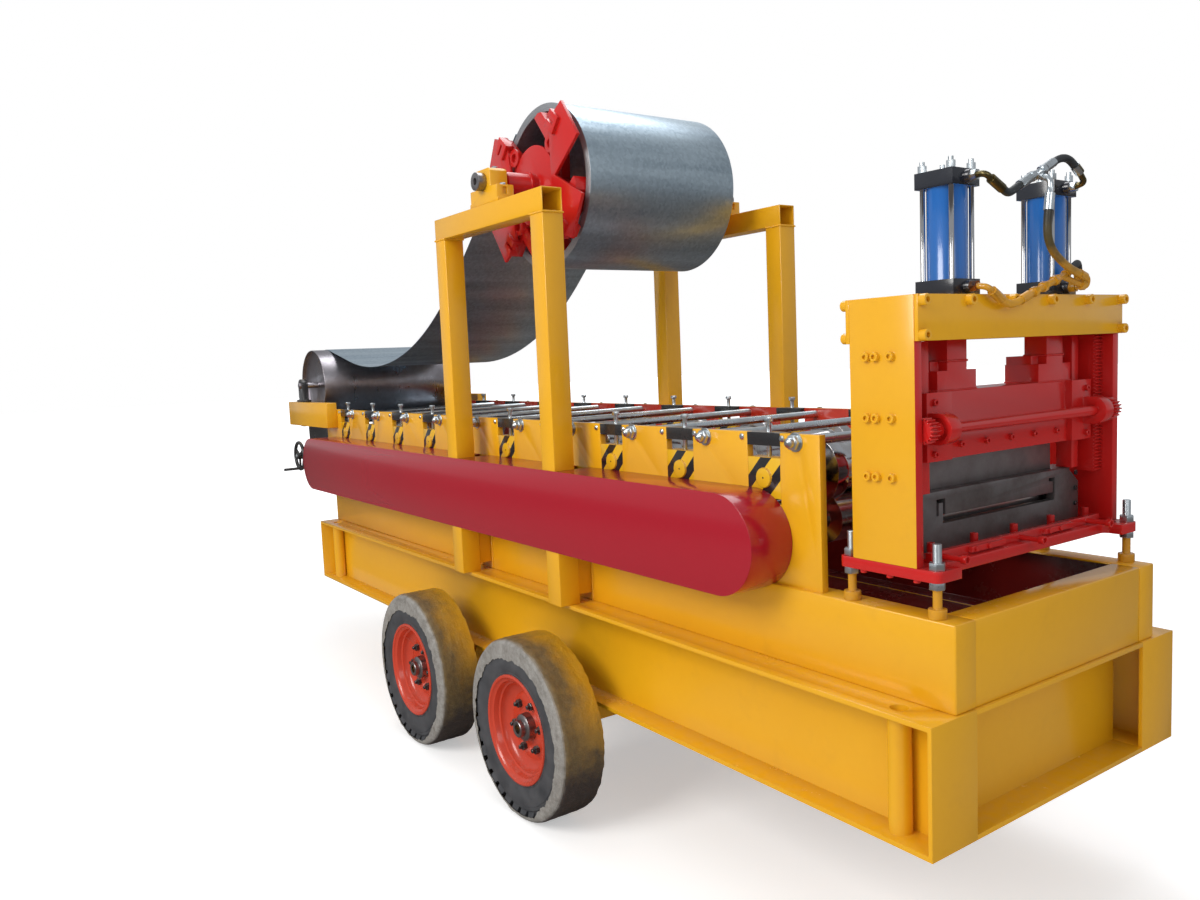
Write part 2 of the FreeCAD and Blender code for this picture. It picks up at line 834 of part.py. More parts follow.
def strip():
    """Sheet from the coil down in a free loop, round the guide drum and in to the rolls."""
    leave = math.radians(strip_leave_angle)
    rise = math.radians(strip_drum_angle)
    coil_r = coil_radius + strip_coil_gap + strip_thickness / 2
    drum_r = guide_drum_radius + running_gap + strip_thickness / 2
    y = coil_shift_y - coil_half_width
    start = vec(coil_x - coil_r * math.sin(leave), y, coil_z + coil_r * math.cos(leave))
    on_drum = vec(guide_drum_x + drum_r * math.sin(rise), y, guide_drum_z + drum_r * math.cos(rise))
    down = math.tan(leave)
    up = math.tan(rise)
    meet_x = (on_drum.z - start.z + up * on_drum.x + down * start.x) / (down + up)
    meet = vec(meet_x, y, start.z + down * (meet_x - start.x))
    run = strip_sag_radius * math.tan((leave + rise) / 2)
    sag_start = meet + vec(run * math.cos(leave), 0, run * math.sin(leave))
    sag_end = meet + vec(-run * math.cos(rise), 0, run * math.sin(rise))
    centre = sag_end + vec(strip_sag_radius * math.sin(rise), 0, strip_sag_radius * math.cos(rise))
    sag_low = centre - vec(0, 0, strip_sag_radius)
    drum_side = vec(guide_drum_x - drum_r, y, guide_drum_z)
    drum_low = vec(guide_drum_x, y, guide_drum_z - drum_r)
    path = Part.Wire([
        Part.LineSegment(start, sag_start).toShape(),
        Part.Arc(sag_start, sag_low, sag_end).toShape(),
        Part.LineSegment(sag_end, on_drum).toShape(),
        Part.Arc(on_drum, drum_side, drum_low).toShape(),
        Part.LineSegment(drum_low, vec(exit_x - strip_end_inset, y, drum_low.z)).toShape(),
    ])
    across = vec(-math.sin(leave), 0, math.cos(leave)) * (strip_thickness / 2)
    width = vec(0, 2 * coil_half_width, 0)
    corners = [start - across, start + across, start + across + width, start - across + width]
    profile = Part.makePolygon(corners + corners[:1])
    save("strip", path.makePipeShell([profile], True, False))


# Entry end

def drum_cradles():
    solids = []
    left = exit_x - cradle_left_inset
    right = exit_x - cradle_right_inset
    for side in sides:
        inner = side * (stand_half_width + slide_clearance)
        outer = side * (stand_half_width + cradle_depth)
        pan = box(left, right, inner, outer, cradle_z, cradle_top)
        hollow = box(left + cradle_wall, right - cradle_wall, inner, outer - side * cradle_wall,
                     cradle_z + cradle_wall, cradle_top - cradle_wall)
        solids.append(pan.cut(hollow))
    save("drum_cradles", solids)


def guide_drum():
    half = guide_drum_half_length
    wall = guide_drum_wall
    recess = 30.0
    end = stand_half_width + cradle_depth - 4
    profile = [
        (-end, guide_shaft_radius), (-half + recess, guide_shaft_radius),
        (-half + recess, guide_drum_radius - wall), (-half, guide_drum_radius - wall),
        (-half, guide_drum_radius), (half, guide_drum_radius), (half, guide_drum_radius - wall),
        (half - recess, guide_drum_radius - wall), (half - recess, guide_shaft_radius),
        (end, guide_shaft_radius),
    ]
    save("guide_drum", turned_y(profile, guide_drum_x, guide_drum_z))
    y = stand_half_width + cradle_depth / 2
    save("drum_bearings", [
        pillow_block(guide_drum_x, side * y, cradle_top, guide_drum_z, drum_bearing_cap_radius,
                     drum_bearing_length, drum_bearing_width, guide_shaft_radius + shaft_clearance)
        for side in sides
    ])


def handwheel():
    hub = 22.0
    screw_end = -stand_half_width + 110
    rim = Part.makeTorus(handwheel_radius - handwheel_rim_radius, handwheel_rim_radius,
                         vec(handwheel_x, -handwheel_y, handwheel_z), vec(0, 1, 0))
    pieces = [
        rim,
        rod_y_axis(handwheel_x, -handwheel_y - 18, -handwheel_y + 18, handwheel_z, hub),
        rod_y_axis(handwheel_x, -handwheel_y, screw_end, handwheel_z, 12),
        rod_y_axis(handwheel_x, -handwheel_y - 110, -handwheel_y - 6, handwheel_z - handwheel_radius + 16, 9),
    ]
    for index in range(3):
        spoke = box(handwheel_x - 8, handwheel_x + 8, -handwheel_y - 5, -handwheel_y + 5,
                    handwheel_z, handwheel_z - handwheel_radius + 8)
        pieces.append(spoke.rotate(vec(handwheel_x, 0, handwheel_z), vec(0, 1, 0), 120 * index))
    save("handwheel", fuse(pieces))


def infeed_table():
    """Entry table with side guides, hung under the cradles on two cheek plates."""
    left = handwheel_x - 60
    right = exit_x - strip_end_inset
    table_top = guide_drum_z - guide_drum_radius - running_gap - strip_thickness - slide_clearance - 4
    half = stand_half_width - stand_plate - slide_clearance
    pieces = [box(left, right, -half, half, table_top - 8, table_top)]
    for side in sides:
        points = [
            vec(handwheel_x - 45, side * half, handwheel_z - 45),
            vec(handwheel_x + 45, side * half, handwheel_z - 45),
            vec(right, side * half, table_top - 40),
            vec(right, side * half, table_top),
            vec(left, side * half, table_top),
        ]
        cheek = prism(points, vec(0, -side * 12, 0))
        pieces.append(cheek)
        pieces.append(box(handwheel_x - 40, handwheel_x + 20, side * half, side * (half - 12),
                          table_top - 8, cradle_z - slide_clearance))
        pieces.append(box(handwheel_x - 40, handwheel_x + 20, side * (half - 12),
                          side * (stand_half_width + 30),
                          cradle_z - slide_clearance - 10, cradle_z - slide_clearance))
    table = fuse(pieces)
    bore = rod_y_axis(handwheel_x, -stand_half_width, stand_half_width, handwheel_z, 12 + shaft_clearance)
    save("infeed_table", table.cut(bore))


# Cutting press

def press_base():
    """Base plate with an ear at each corner, and a clear hole for each levelling stud."""
    z0 = tub_top + press_base_bottom
    half = press_half_width
    front = exit_x - press_base_front_inset
    rear = exit_x - press_base_rear_inset
    ear_front = exit_x - ear_front_inset
    ear_rear = exit_x - ear_rear_inset
    pieces = [box(rear, front, -half, half, z0, press_deck_z)]
    for side in sides:
        pieces.append(box(ear_rear, ear_front, side * (half - ear_width), side * half, z0, press_deck_z))
    plate = fuse(pieces)
    corners = [(x, side * half) for x in (ear_front, ear_rear) for side in sides]
    corners += [(x, side * (half - ear_width)) for x in (front, rear) for side in sides]
    upright = []
    for edge in plate.Edges:
        middle = edge.CenterOfMass
        if abs(middle.z - z0 - press_base_plate / 2) > 0.1:
            continue
        if any(abs(middle.x - x) < 0.1 and abs(middle.y - y) < 0.1 for x, y in corners):
            upright.append(edge)
    plate = plate.makeFillet(ear_corner_radius, upright)
    holes = [rod_z_axis(x, side * foot_y, z0, press_deck_z, foot_radius + slide_clearance)
             for x in (exit_x - foot_inset_front, exit_x - foot_inset_rear) for side in sides]
    save("press_base_plate", plate.cut(Part.makeCompound(holes)))


def press_feet():
    solids = []
    z0 = tub_top + press_base_bottom
    for x in (exit_x - foot_inset_front, exit_x - foot_inset_rear):
        for side in sides:
            y = side * foot_y
            solids.append(fuse([
                rod_z_axis(x, y, tub_top, tub_top + foot_pad_height, foot_pad_radius),
                rod_z_axis(x, y, tub_top, press_deck_z + foot_stand_out, foot_radius),
                hexagon_z(x, y, z0 - foot_nut_height - slide_clearance, foot_nut_height, foot_nut_radius),
                hexagon_z(x, y, press_deck_z + slide_clearance, foot_nut_height, foot_nut_radius),
            ]))
    save("press_feet", solids)


def press_frame():
    save("press_side_plates", [
        box(press_rear_x, press_front_x, side * press_half_width, side * press_inner_y,
            press_deck_z, press_top_z)
        for side in sides
    ])
    z0 = press_top_z - head_depth
    half = press_half_width
    inner = press_inner_y - slide_clearance
    pieces = [
        box(press_front_x, press_front_x + head_plate, -half, half, z0, press_top_z),
        box(press_rear_x - head_plate, press_rear_x, -half, half, z0, press_top_z),
        box(press_rear_x, press_front_x, -inner, inner, press_top_z - head_top_plate, press_top_z),
    ]
    head = fuse(pieces)
    holes = [rod_z_axis(rod_x, side * rod_y, z0, press_top_z, rod_radius + 1) for side in sides]
    save("press_head", head.cut(Part.makeCompound(holes)))


def rack_outline(y):
    """Straight rack teeth facing +X, thinned by half the backlash on each flank."""
    pitch = math.pi * gear_module
    slope = math.tan(math.radians(pressure_angle))
    half_tooth = pitch / 4 - backlash / 2
    tip = half_tooth - gear_module * slope
    root = half_tooth + 1.25 * gear_module * slope
    z0 = tub_top + rack_bottom
    z1 = tub_top + rack_top
    back = rack_pitch_x - rack_body
    base = rack_pitch_x - 1.25 * gear_module
    crest = rack_pitch_x + gear_module
    middle = pinion_z + pitch / 2
    points = [vec(back, y, z1), vec(back, y, z0), vec(base, y, z0)]
    first = math.ceil((z0 - middle) / pitch + 0.5)
    last = math.floor((z1 - middle) / pitch - 0.5)
    for k in range(first, last + 1):
        z = middle + k * pitch
        points += [vec(base, y, z - root), vec(crest, y, z - tip)]
        points += [vec(crest, y, z + tip), vec(base, y, z + root)]
    points.append(vec(base, y, z1))
    return points


def press_guides():
    """Each side's rack and slide rail on one back plate, bolted inside the press side plate."""
    solids = []
    z0 = tub_top + rack_bottom
    z1 = tub_top + rack_top
    rail_z = die_top_z + rail_above_die
    for side in sides:
        outer = side * (press_inner_y - slide_clearance)
        rack = prism(rack_outline(outer), vec(0, -side * rack_width, 0))
        carrier = box(guide_face_x, rack_pitch_x - rack_body, outer, outer - side * rack_width, z0, z1)
        back = box(guide_back_x, guide_face_x, outer, side * rail_inner_y, rail_z, z1)
        rail = box(guide_face_x, guide_face_x + rail_height, side * rail_inner_y,
                   side * (rail_inner_y + rail_width), rail_z, z1)
        solids.append(fuse([rack, carrier, back, rail]))
    save("press_guides", solids)


def involute_point(base_radius, radius):
    """The angle that an involute has turned through at a radius."""
    roll = math.sqrt(max((radius / base_radius) ** 2 - 1, 0))
    return roll - math.atan(roll)


def pinion(y0, y1):
    pitch_r = pinion_pitch_radius
    base_r = pitch_r * math.cos(math.radians(pressure_angle))
    tip_r = pitch_r + gear_module
    root_r = pitch_r - 1.25 * gear_module
    half_pitch_angle = (math.pi * gear_module / 4 - backlash / 2) / pitch_r
    at_pitch = involute_point(base_r, pitch_r)
    flank = [base_r, (base_r + pitch_r) / 2, pitch_r, (pitch_r + tip_r) / 2, tip_r]
    half_angle = [half_pitch_angle + at_pitch - involute_point(base_r, radius) for radius in flank]
    points = []
    for tooth in range(pinion_teeth):
        centre = math.pi + 2 * math.pi * tooth / pinion_teeth
        outline = [(root_r, -half_angle[0])]
        outline += [(radius, -angle) for radius, angle in zip(flank, half_angle)]
        outline += [(radius, angle) for radius, angle in reversed(list(zip(flank, half_angle)))]
        outline.append((root_r, half_angle[0]))
        for radius, angle in outline:
            a = centre + angle
            points.append(vec(pinion_x + radius * math.cos(a), y0, pinion_z + radius * math.sin(a)))
    return prism(points, vec(0, y1 - y0, 0))


def equaliser_shaft():
    """Cross shaft with a pinion at each end that keeps the two sides of the ram level."""
    end = pinion_y + pinion_width / 2
    hub_start = housing_y + housing_width / 2 + 2
    pieces = [rod_y_axis(pinion_x, -end, end, pinion_z, equaliser_radius)]
    for side in sides:
        y = side * pinion_y
        pieces.append(pinion(y - pinion_width / 2, y + pinion_width / 2))
        pieces.append(rod_y_axis(pinion_x, side * hub_start, y, pinion_z, pinion_hub_radius))
    save("equaliser_shaft", fuse(pieces))


def ram_side(side):
    """One side's cheek with its tongue behind the rail, shaft housing, shoe, clevis and rod."""
    cheek_front = ram_front_x + cheek_thickness
    outer = side * cheek_outer_y
    y = side * rod_y
    shoe_top = ram_top_z + shoe_height
    step_top = shoe_top + shoe_step_height
    step_front = ram_front_x - shoe_step_setback
    housing_inner = side * (housing_y - housing_width / 2)
    housing_outer = side * (housing_y + housing_width / 2)
    return [
        box(ram_front_x, cheek_front, side * cheek_inner_y, outer, ram_bottom_z, ram_top_z),
        box(ram_front_x - tongue_depth, cheek_front, outer, side * (cheek_outer_y - tongue_width),
            ram_bottom_z, ram_top_z),
        rod_y_axis(pinion_x, housing_inner, housing_outer, pinion_z, housing_radius),
        box(ram_front_x, pinion_x, housing_inner, housing_outer,
            pinion_z - housing_radius, pinion_z + housing_radius),
        box(ram_rear_x, ram_front_x, y - shoe_width / 2, y + shoe_width / 2, ram_top_z, shoe_top),
        box(ram_rear_x, step_front, y - shoe_step_width / 2, y + shoe_step_width / 2, shoe_top, step_top),
        box(rod_x - clevis_width / 2, rod_x + clevis_width / 2 - 16, y - clevis_width / 2,
            y + clevis_width / 2, shoe_top, step_top + clevis_height),
        rod_z_axis(rod_x, y, step_top + clevis_height, press_top_z + rod_above_deck, rod_radius),
    ]


def ram():
    pieces = [
        box(ram_rear_x, ram_front_x, -ram_half_width, ram_half_width, ram_bottom_z, ram_top_z),
        box(ram_front_x, ram_front_x + ram_bar_thickness, -cheek_inner_y, cheek_inner_y,
            ram_bottom_z, ram_bottom_z + ram_bar_height),
    ]
    half_seat = blade_thickness / 2 + slide_clearance
    cuts = [box(blade_x - half_seat, blade_x + half_seat, -ram_half_width, ram_half_width,
                ram_bottom_z, ram_bottom_z + blade_seat)]
    for side in sides:
        pieces += ram_side(side)
        outer = side * (housing_y + housing_width / 2)
        cuts.append(rod_y_axis(pinion_x, side * (housing_y - housing_width), outer, pinion_z,
                               equaliser_radius + shaft_clearance))
        cuts.append(rod_y_axis(pinion_x, outer - side * housing_counterbore_depth, outer, pinion_z,
                               housing_counterbore_radius))
    save("ram", fuse(pieces).cut(Part.makeCompound(cuts)))
    save("blade", box(blade_x - blade_thickness / 2, blade_x + blade_thickness / 2,
                      -ram_half_width, blade_far_y,
                      die_top_z - blade_below_die_top, ram_bottom_z + blade_seat - slide_clearance))


def profile_slot(x0, x1):
    """Way through the die plates for the formed sheet: a low opening and two upright slits."""
    floor = press_deck_z + profile_floor
    top = floor + profile_height
    near = -profile_near_y
    far = profile_far_y
    slit = profile_slit
    lip = near - profile_near_hook
    return fuse([
        box(x0, x1, near, far, floor, floor + profile_opening),
        box(x0, x1, far - slit, far, floor, top),
        box(x0, x1, far - profile_far_hook, far, top - slit, top),
        box(x0, x1, near, near + slit, floor, top),
        box(x0, x1, lip, near + slit, top - slit, top),
        box(x0, x1, lip, lip + slit, top - profile_lip, top),
    ])


def lower_die():
    """Two slotted plates with end spacers between them, which the blade comes down inside."""
    half = die_half_width
    rear = die_front_x - 2 * die_plate - die_gap
    gap_rear = rear + die_plate
    gap_front = gap_rear + die_gap
    corner = [
        vec(gap_front, half, die_top_z), vec(gap_front, half - die_corner_width, die_top_z),
        vec(gap_front, half, die_top_z - die_corner_height),
    ]
    front_plate = box(gap_front, die_front_x, -half, half, press_deck_z, die_top_z)
    rear_plate = box(rear, gap_rear, -half, half, press_deck_z, die_top_z)
    pieces = [
        front_plate.cut(prism(corner, vec(die_plate, 0, 0))),
        rear_plate,
        box(gap_rear, gap_front, blade_far_y + blade_end_gap, half, press_deck_z, die_top_z),
        box(gap_rear, gap_front, -half, -ram_half_width - blade_end_gap, press_deck_z, die_top_z),
    ]
    save("lower_die", fuse(pieces).cut(profile_slot(rear, die_front_x)))


def clamp_screw(y, bar_front, z):
    head_x = bar_front + clamp_screw_stand_out
    head = rod_x_axis(head_x - clamp_screw_head_length, head_x, y, z, clamp_screw_head_radius)
    socket = rod_x_axis(head_x - clamp_screw_head_length / 2, head_x, y, z, clamp_screw_radius)
    return [rod_x_axis(bar_front - clamp_bar_thickness, head_x - clamp_screw_head_length, y, z,
                       clamp_screw_radius), head.cut(socket)]


def die_clamps():
    bar_front = exit_x - clamp_bar_front_inset
    bar_rear = bar_front - clamp_bar_thickness
    half = die_half_width
    bar_top = press_deck_z + clamp_bar_height
    pieces = [
        box(die_front_x + slide_clearance, bar_rear, -half, half,
            press_deck_z, press_deck_z + clamp_strip_height),
        box(bar_rear, bar_front, -half, half, press_deck_z, bar_top),
    ]
    for side in sides:
        y = side * clamp_clip_y
        pieces.append(box(bar_front, bar_front + clamp_clip_thickness, y - clamp_clip_length / 2,
                          y + clamp_clip_length / 2, bar_top - clamp_clip_height - 4, bar_top - 4))
    for index in (-1, 0, 1):
        y = clamp_screw_shift + index * clamp_screw_pitch
        pieces += clamp_screw(y, bar_front, press_deck_z + clamp_bar_height / 2)
    save("die_clamps", fuse(pieces))


# Hydraulics

def cylinder(side):
    """Tie-rod cylinder: two square caps, a round barrel, four tie rods and two port bosses."""
    half = cylinder_cap / 2
    y = side * rod_y
    z0 = press_top_z
    z1 = z0 + cylinder_length
    low = z0 + cylinder_cap_height
    high = z1 - cylinder_cap_height
    low_cap = box(rod_x - half, rod_x + half, y - half, y + half, z0, low)
    barrel = rod_z_axis(rod_x, y, low, high, barrel_radius)
    pieces = [
        low_cap.cut(rod_z_axis(rod_x, y, z0, low, rod_radius + shaft_clearance)),
        barrel.cut(rod_z_axis(rod_x, y, low, high, barrel_bore_radius)),
        box(rod_x - half, rod_x + half, y - half, y + half, high, z1),
        rod_x_axis(rod_x + half, port_x, y, port_low_z, port_radius),
        rod_x_axis(rod_x + half, port_x, y, port_high_z, port_radius),
    ]
    for dx in (-cylinder_tie_offset, cylinder_tie_offset):
        for dy in (-cylinder_tie_offset, cylinder_tie_offset):
            pieces.append(rod_z_axis(rod_x + dx, y + dy, low - 1, z1 + cylinder_tie_stand_out,
                                     cylinder_tie_radius))
            pieces.append(hexagon_z(rod_x + dx, y + dy, z1, cylinder_nut_height, cylinder_nut_radius))
    return fuse(pieces)


def cylinders():
    save("cylinders", [cylinder(side) for side in sides])


def rod_between(start, end, radius):
    along = end - start
    return Part.makeCylinder(radius, along.Length, start, along)


def nut_between(start, end, radius):
    """A hexagonal nut or adapter along the line from start to end."""
    along = (end - start).normalize()
    across = along.cross(vec(0, 0, 1)).normalize()
    other = along.cross(across)
    corners = []
    for k in range(6):
        turn = math.radians(60 * k)
        corners.append(start + across * (radius * math.cos(turn)) + other * (radius * math.sin(turn)))
    return prism(corners, end - start)


def bend_radius(before, corner, after):
    """The arc that takes up 0.45 of the shorter run on each side of a corner."""
    run = 0.45 * min((corner - before).Length, (after - corner).Length)
    half_turn = (corner - before).getAngle(after - corner) / 2
    return run / math.tan(half_turn)


def tube(points, radius):
    """A round tube along straight runs with a tangent arc at each corner."""
    edges = []
    here = points[0]
    for before, corner, after in zip(points, points[1:], points[2:]):
        run = 0.45 * min((corner - before).Length, (after - corner).Length)
        back = (before - corner).normalize()
        ahead = (after - corner).normalize()
        bend = bend_radius(before, corner, after)
        half_turn = (corner - before).getAngle(after - corner) / 2
        inward = (back + ahead).normalize()
        middle = corner + inward * (bend / math.cos(half_turn) - bend)
        edges.append(Part.LineSegment(here, corner + back * run).toShape())
        here = corner + ahead * run
        edges.append(Part.Arc(corner + back * run, middle, here).toShape())
    edges.append(Part.LineSegment(here, points[-1]).toShape())
    profile = Part.Wire(Part.Circle(points[0], points[1] - points[0], radius).toShape())
    return Part.Wire(edges).makePipeShell([profile], True, False)


def at_exit(inset, y, over_tub):
    """A point by its distance in from the exit end and its height over the tub frame."""
    return vec(exit_x - inset, y, tub_top + over_tub)


def hose_points():
    """Chosen centre points of each hose, from one ferrule to the other."""
    return {
        "hose_top_near": [
            at_exit(85, -199, 1120.6), at_exit(85, -174, 1109.5), at_exit(87, -147, 1100.5),
            at_exit(89, -118, 1112), at_exit(90, -92, 1125), at_exit(90, -68, 1135.7),
        ],
        "hose_top_far": [
            at_exit(90, 57, 1190.2), at_exit(90, 81, 1201.5), at_exit(90, 107, 1212),
            at_exit(90, 134, 1217), at_exit(90, 161, 1214), at_exit(90, 186, 1201),
            at_exit(90, 207, 1188),
        ],
        "hose_drop": [
            at_exit(40, -29, 1077.6), at_exit(40, -34.5, 1046), at_exit(40, -38, 1013),
            at_exit(40, -35, 981), at_exit(42, -16, 956), at_exit(46, 11, 939), at_exit(50, 45, 925),
            at_exit(54, 84, 909), at_exit(57, 122, 898.5), at_exit(59, 159, 890),
            at_exit(60, 181, 884),
        ],
        "hose_low_near": [
            at_exit(85, -202, 829.2), at_exit(85, -178, 816.5), at_exit(85, -150.5, 806.5),
            at_exit(85, -121, 807.5), at_exit(85, -93, 816), at_exit(85, -71, 823.9),
        ],
        "hose_low_far": [
            at_exit(86, 142, 893.5), at_exit(88, 170, 907), at_exit(91, 199, 919.5),
            at_exit(100, 224, 925), at_exit(108, 244, 913), at_exit(110, 249, 889),
        ],
    }


def ferrule(end, neighbour, length, grip):
    """The crimped sleeve that the hose end sits in, and the far end of its axis."""
    inward = (end - neighbour).normalize()
    mouth = end - inward * grip
    out = mouth + inward * length
    bore = rod_between(mouth, end, hose_radius + slide_clearance)
    return rod_between(mouth, out, ferrule_radius).cut(bore), out


def port_elbow(y, z, corner, end, neighbour, length, grip):
    """Nut on a port, a bent steel tube and the ferrule of the hose that leaves it."""
    crimp, out = ferrule(end, neighbour, length, grip)
    nut_end = vec(port_x + fitting_nut_length, y, z)
    inside = out - (end - neighbour).normalize() * 5
    return fuse([
        nut_between(vec(port_x, y, z), nut_end, fitting_nut_radius),
        tube([nut_end - vec(2, 0, 0), corner, inside], elbow_radius),
        crimp,
    ])


def straight_fitting(start, end, nuts):
    """A straight body with hexagons at shares of its length."""
    along = end - start
    pieces = [rod_between(start, end, elbow_radius + 1)]
    half = vec(along.x, along.y, along.z).normalize() * (fitting_nut_length / 2)
    for share in nuts:
        middle = start + along * share
        pieces.append(nut_between(middle - half, middle + half, fitting_nut_radius))
    return pieces


def hoses():
    """Five hoses, and the elbows and tees that join them to the four ports."""
    hose = hose_points()
    for name, points in hose.items():
        radii = [bend_radius(a, b, c) for a, b, c in zip(points, points[1:], points[2:])]
        print(name, "bend radii", [round(radius) for radius in radii])
        save(name, tube(points, hose_radius))
    top_near = hose["hose_top_near"]
    top_far = hose["hose_top_far"]
    drop = hose["hose_drop"]
    low_near = hose["hose_low_near"]
    low_far = hose["hose_low_far"]
    fittings = [
        port_elbow(-rod_y, port_high_z, at_exit(88, -rod_y - 2, 1146), top_near[0], top_near[1], 55,
                   ferrule_grip),
        port_elbow(rod_y, port_high_z, at_exit(90, rod_y, 1156), top_far[-1], top_far[-2], 34,
                   ferrule_grip),
        port_elbow(-rod_y, port_low_z, at_exit(87, -rod_y, 852), low_near[0], low_near[1], 50,
                   ferrule_grip),
        port_elbow(rod_y, port_low_z, at_exit(104, rod_y + 4, 859), low_far[-1], low_far[-2], 22,
                   ferrule_short_grip),
    ]
    left, left_end = ferrule(top_near[-1], top_near[-2], 58, ferrule_grip)
    right, right_end = ferrule(top_far[0], top_far[1], 48, ferrule_grip)
    down, down_end = ferrule(drop[0], drop[1], 46, ferrule_grip)
    tee = left_end + (right_end - left_end) * 0.4
    fittings.append(fuse([left, right, down] + straight_fitting(left_end, right_end, (0.12, 0.85)) + [
        tube([tee, at_exit(41, -20, 1140), down_end], elbow_radius),
        nut_between(tee + vec(14, -2, -5), tee + vec(28, -4, -10), fitting_nut_radius),
    ]))
    left, left_end = ferrule(low_near[-1], low_near[-2], 44, ferrule_grip)
    right, right_end = ferrule(low_far[0], low_far[1], 34, ferrule_grip)
    back, back_end = ferrule(drop[-1], drop[-2], 34, ferrule_grip)
    tee = left_end + (right_end - left_end) * 0.92
    fittings.append(fuse([left, right, back] + straight_fitting(left_end, right_end, (0.15, 0.4, 0.72)) + [
        tube([back_end, at_exit(66, 219, 877), at_exit(70, 217, 853), at_exit(74, 172, 865), tee],
             elbow_radius),
        nut_between(at_exit(71.3, 204, 856.5), at_exit(72.5, 188, 860.5), fitting_nut_radius),
    ]))
    save("hose_fittings", fittings)


base_frame()
tub_frame()
axles()
wheels()
roll_stand()
rolls()
chain_cover()
decoiler_stand()
mandrel_bearings()
mandrel()
coil()
strip()
drum_cradles()
guide_drum()
handwheel()
infeed_table()
press_base()
press_feet()
press_frame()
press_guides()
equaliser_shaft()
ram()
lower_die()
die_clamps()
cylinders()
hoses()
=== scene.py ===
import json
import math
from functools import partial

import bmesh
import bpy
from mathutils import Matrix, Vector, noise


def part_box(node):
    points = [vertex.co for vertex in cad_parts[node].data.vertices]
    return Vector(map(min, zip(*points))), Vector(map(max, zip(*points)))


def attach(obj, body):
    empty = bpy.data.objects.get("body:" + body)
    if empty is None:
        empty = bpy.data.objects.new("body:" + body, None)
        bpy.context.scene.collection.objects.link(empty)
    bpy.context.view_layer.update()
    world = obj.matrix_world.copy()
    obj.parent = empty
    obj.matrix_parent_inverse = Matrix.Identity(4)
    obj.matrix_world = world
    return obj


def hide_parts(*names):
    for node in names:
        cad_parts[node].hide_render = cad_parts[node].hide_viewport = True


# Roll forming machine on a wheeled base. Metres, +X towards the cutting press, the chain cover is on -Y.
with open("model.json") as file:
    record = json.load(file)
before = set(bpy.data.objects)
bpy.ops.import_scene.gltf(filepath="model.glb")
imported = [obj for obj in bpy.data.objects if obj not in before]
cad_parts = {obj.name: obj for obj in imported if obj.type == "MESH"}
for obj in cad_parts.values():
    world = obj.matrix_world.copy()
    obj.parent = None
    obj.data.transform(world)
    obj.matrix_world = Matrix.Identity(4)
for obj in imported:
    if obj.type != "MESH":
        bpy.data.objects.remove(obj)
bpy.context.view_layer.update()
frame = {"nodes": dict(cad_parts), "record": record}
nodes = frame["nodes"]
bodyOfNode = {node: body for body, names in frame["record"]["behaviour"]["bodies"].items() for node in names}

near, far = bothSides = (-1, 1)
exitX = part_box("base_frame")[1][0]
tubLow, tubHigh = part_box("tub_frame")
tubTop = tubHigh[2]


def at(inset, y, overTub):
    # a point by its distance in from the exit end and its height over the tub frame, in millimetres
    return Vector((exitX - inset / 1000, y / 1000, tubTop + overTub / 1000))


def linkObject(name, data):
    made = bpy.data.objects.new(name, data)
    bpy.context.scene.collection.objects.link(made)
    return made


# ---- nodes: an input is given as a value, as another node's output, or as None to leave it

def feed(tree, value, socket):
    if isinstance(value, bpy.types.NodeSocket):
        tree.links.new(value, socket)
    elif value is not None:
        socket.default_value = (*value, 1) if socket.type == "RGBA" else value


def fill(tree, node, inputs):
    for label, value in inputs.items():
        feed(tree, value, node.inputs[label])


def addNode(tree, kind, inputs=None, **settings):
    made = tree.nodes.new(kind)
    for label, value in settings.items():
        setattr(made, label, value)
    fill(tree, made, inputs or {})
    return made


def mathNode(tree, operation, a, b=None, clamp=False):
    return addNode(tree, "ShaderNodeMath", {0: a, 1: b}, operation=operation, use_clamp=clamp).outputs[0]


def vectorNode(tree, operation, a, b=None):
    return addNode(tree, "ShaderNodeVectorMath", {0: a, 1: b}, operation=operation).outputs


def axesOf(tree, vector):
    return addNode(tree, "ShaderNodeSeparateXYZ", {0: vector}).outputs


def shares(tree, a, b, share):
    # the given share of a, and of b what is left
    rest = mathNode(tree, "MULTIPLY", b, 1 - share)
    return mathNode(tree, "ADD", mathNode(tree, "MULTIPLY", a, share), rest)


def noiseNode(tree, place, scale, detail=3.0, rough=0.55):
    inputs = {"Vector": place, "Scale": scale, "Detail": detail, "Roughness": rough}
    return addNode(tree, "ShaderNodeTexNoise", inputs).outputs["Fac"]


def rangeNode(tree, value, low, high, newLow=0.0, newHigh=1.0):
    inputs = {"Value": value, "From Min": low, "From Max": high, "To Min": newLow, "To Max": newHigh}
    return addNode(tree, "ShaderNodeMapRange", inputs).outputs["Result"]


def blendColours(tree, fac, a, b):
    # the Mix node has several sockets of one name, so the colour ones are taken by their type
    made = addNode(tree, "ShaderNodeMix", {0: fac}, data_type="RGBA")
    for value, socket in zip((a, b), [s for s in made.inputs if s.type == "RGBA"]):
        feed(tree, value, socket)
    return [o for o in made.outputs if o.type == "RGBA"][0]


def newGroup(name, kind, inputs, outputs):
    tree = bpy.data.node_groups.new(name, kind + "NodeTree")
    for label, socket, value in inputs:
        made = tree.interface.new_socket(label, in_out="INPUT", socket_type="NodeSocket" + socket)
        if value is not None:
            made.default_value = value
    for label, socket in outputs:
        tree.interface.new_socket(label, in_out="OUTPUT", socket_type="NodeSocket" + socket)
    return tree, tree.nodes.new("NodeGroupInput").outputs, tree.nodes.new("NodeGroupOutput")


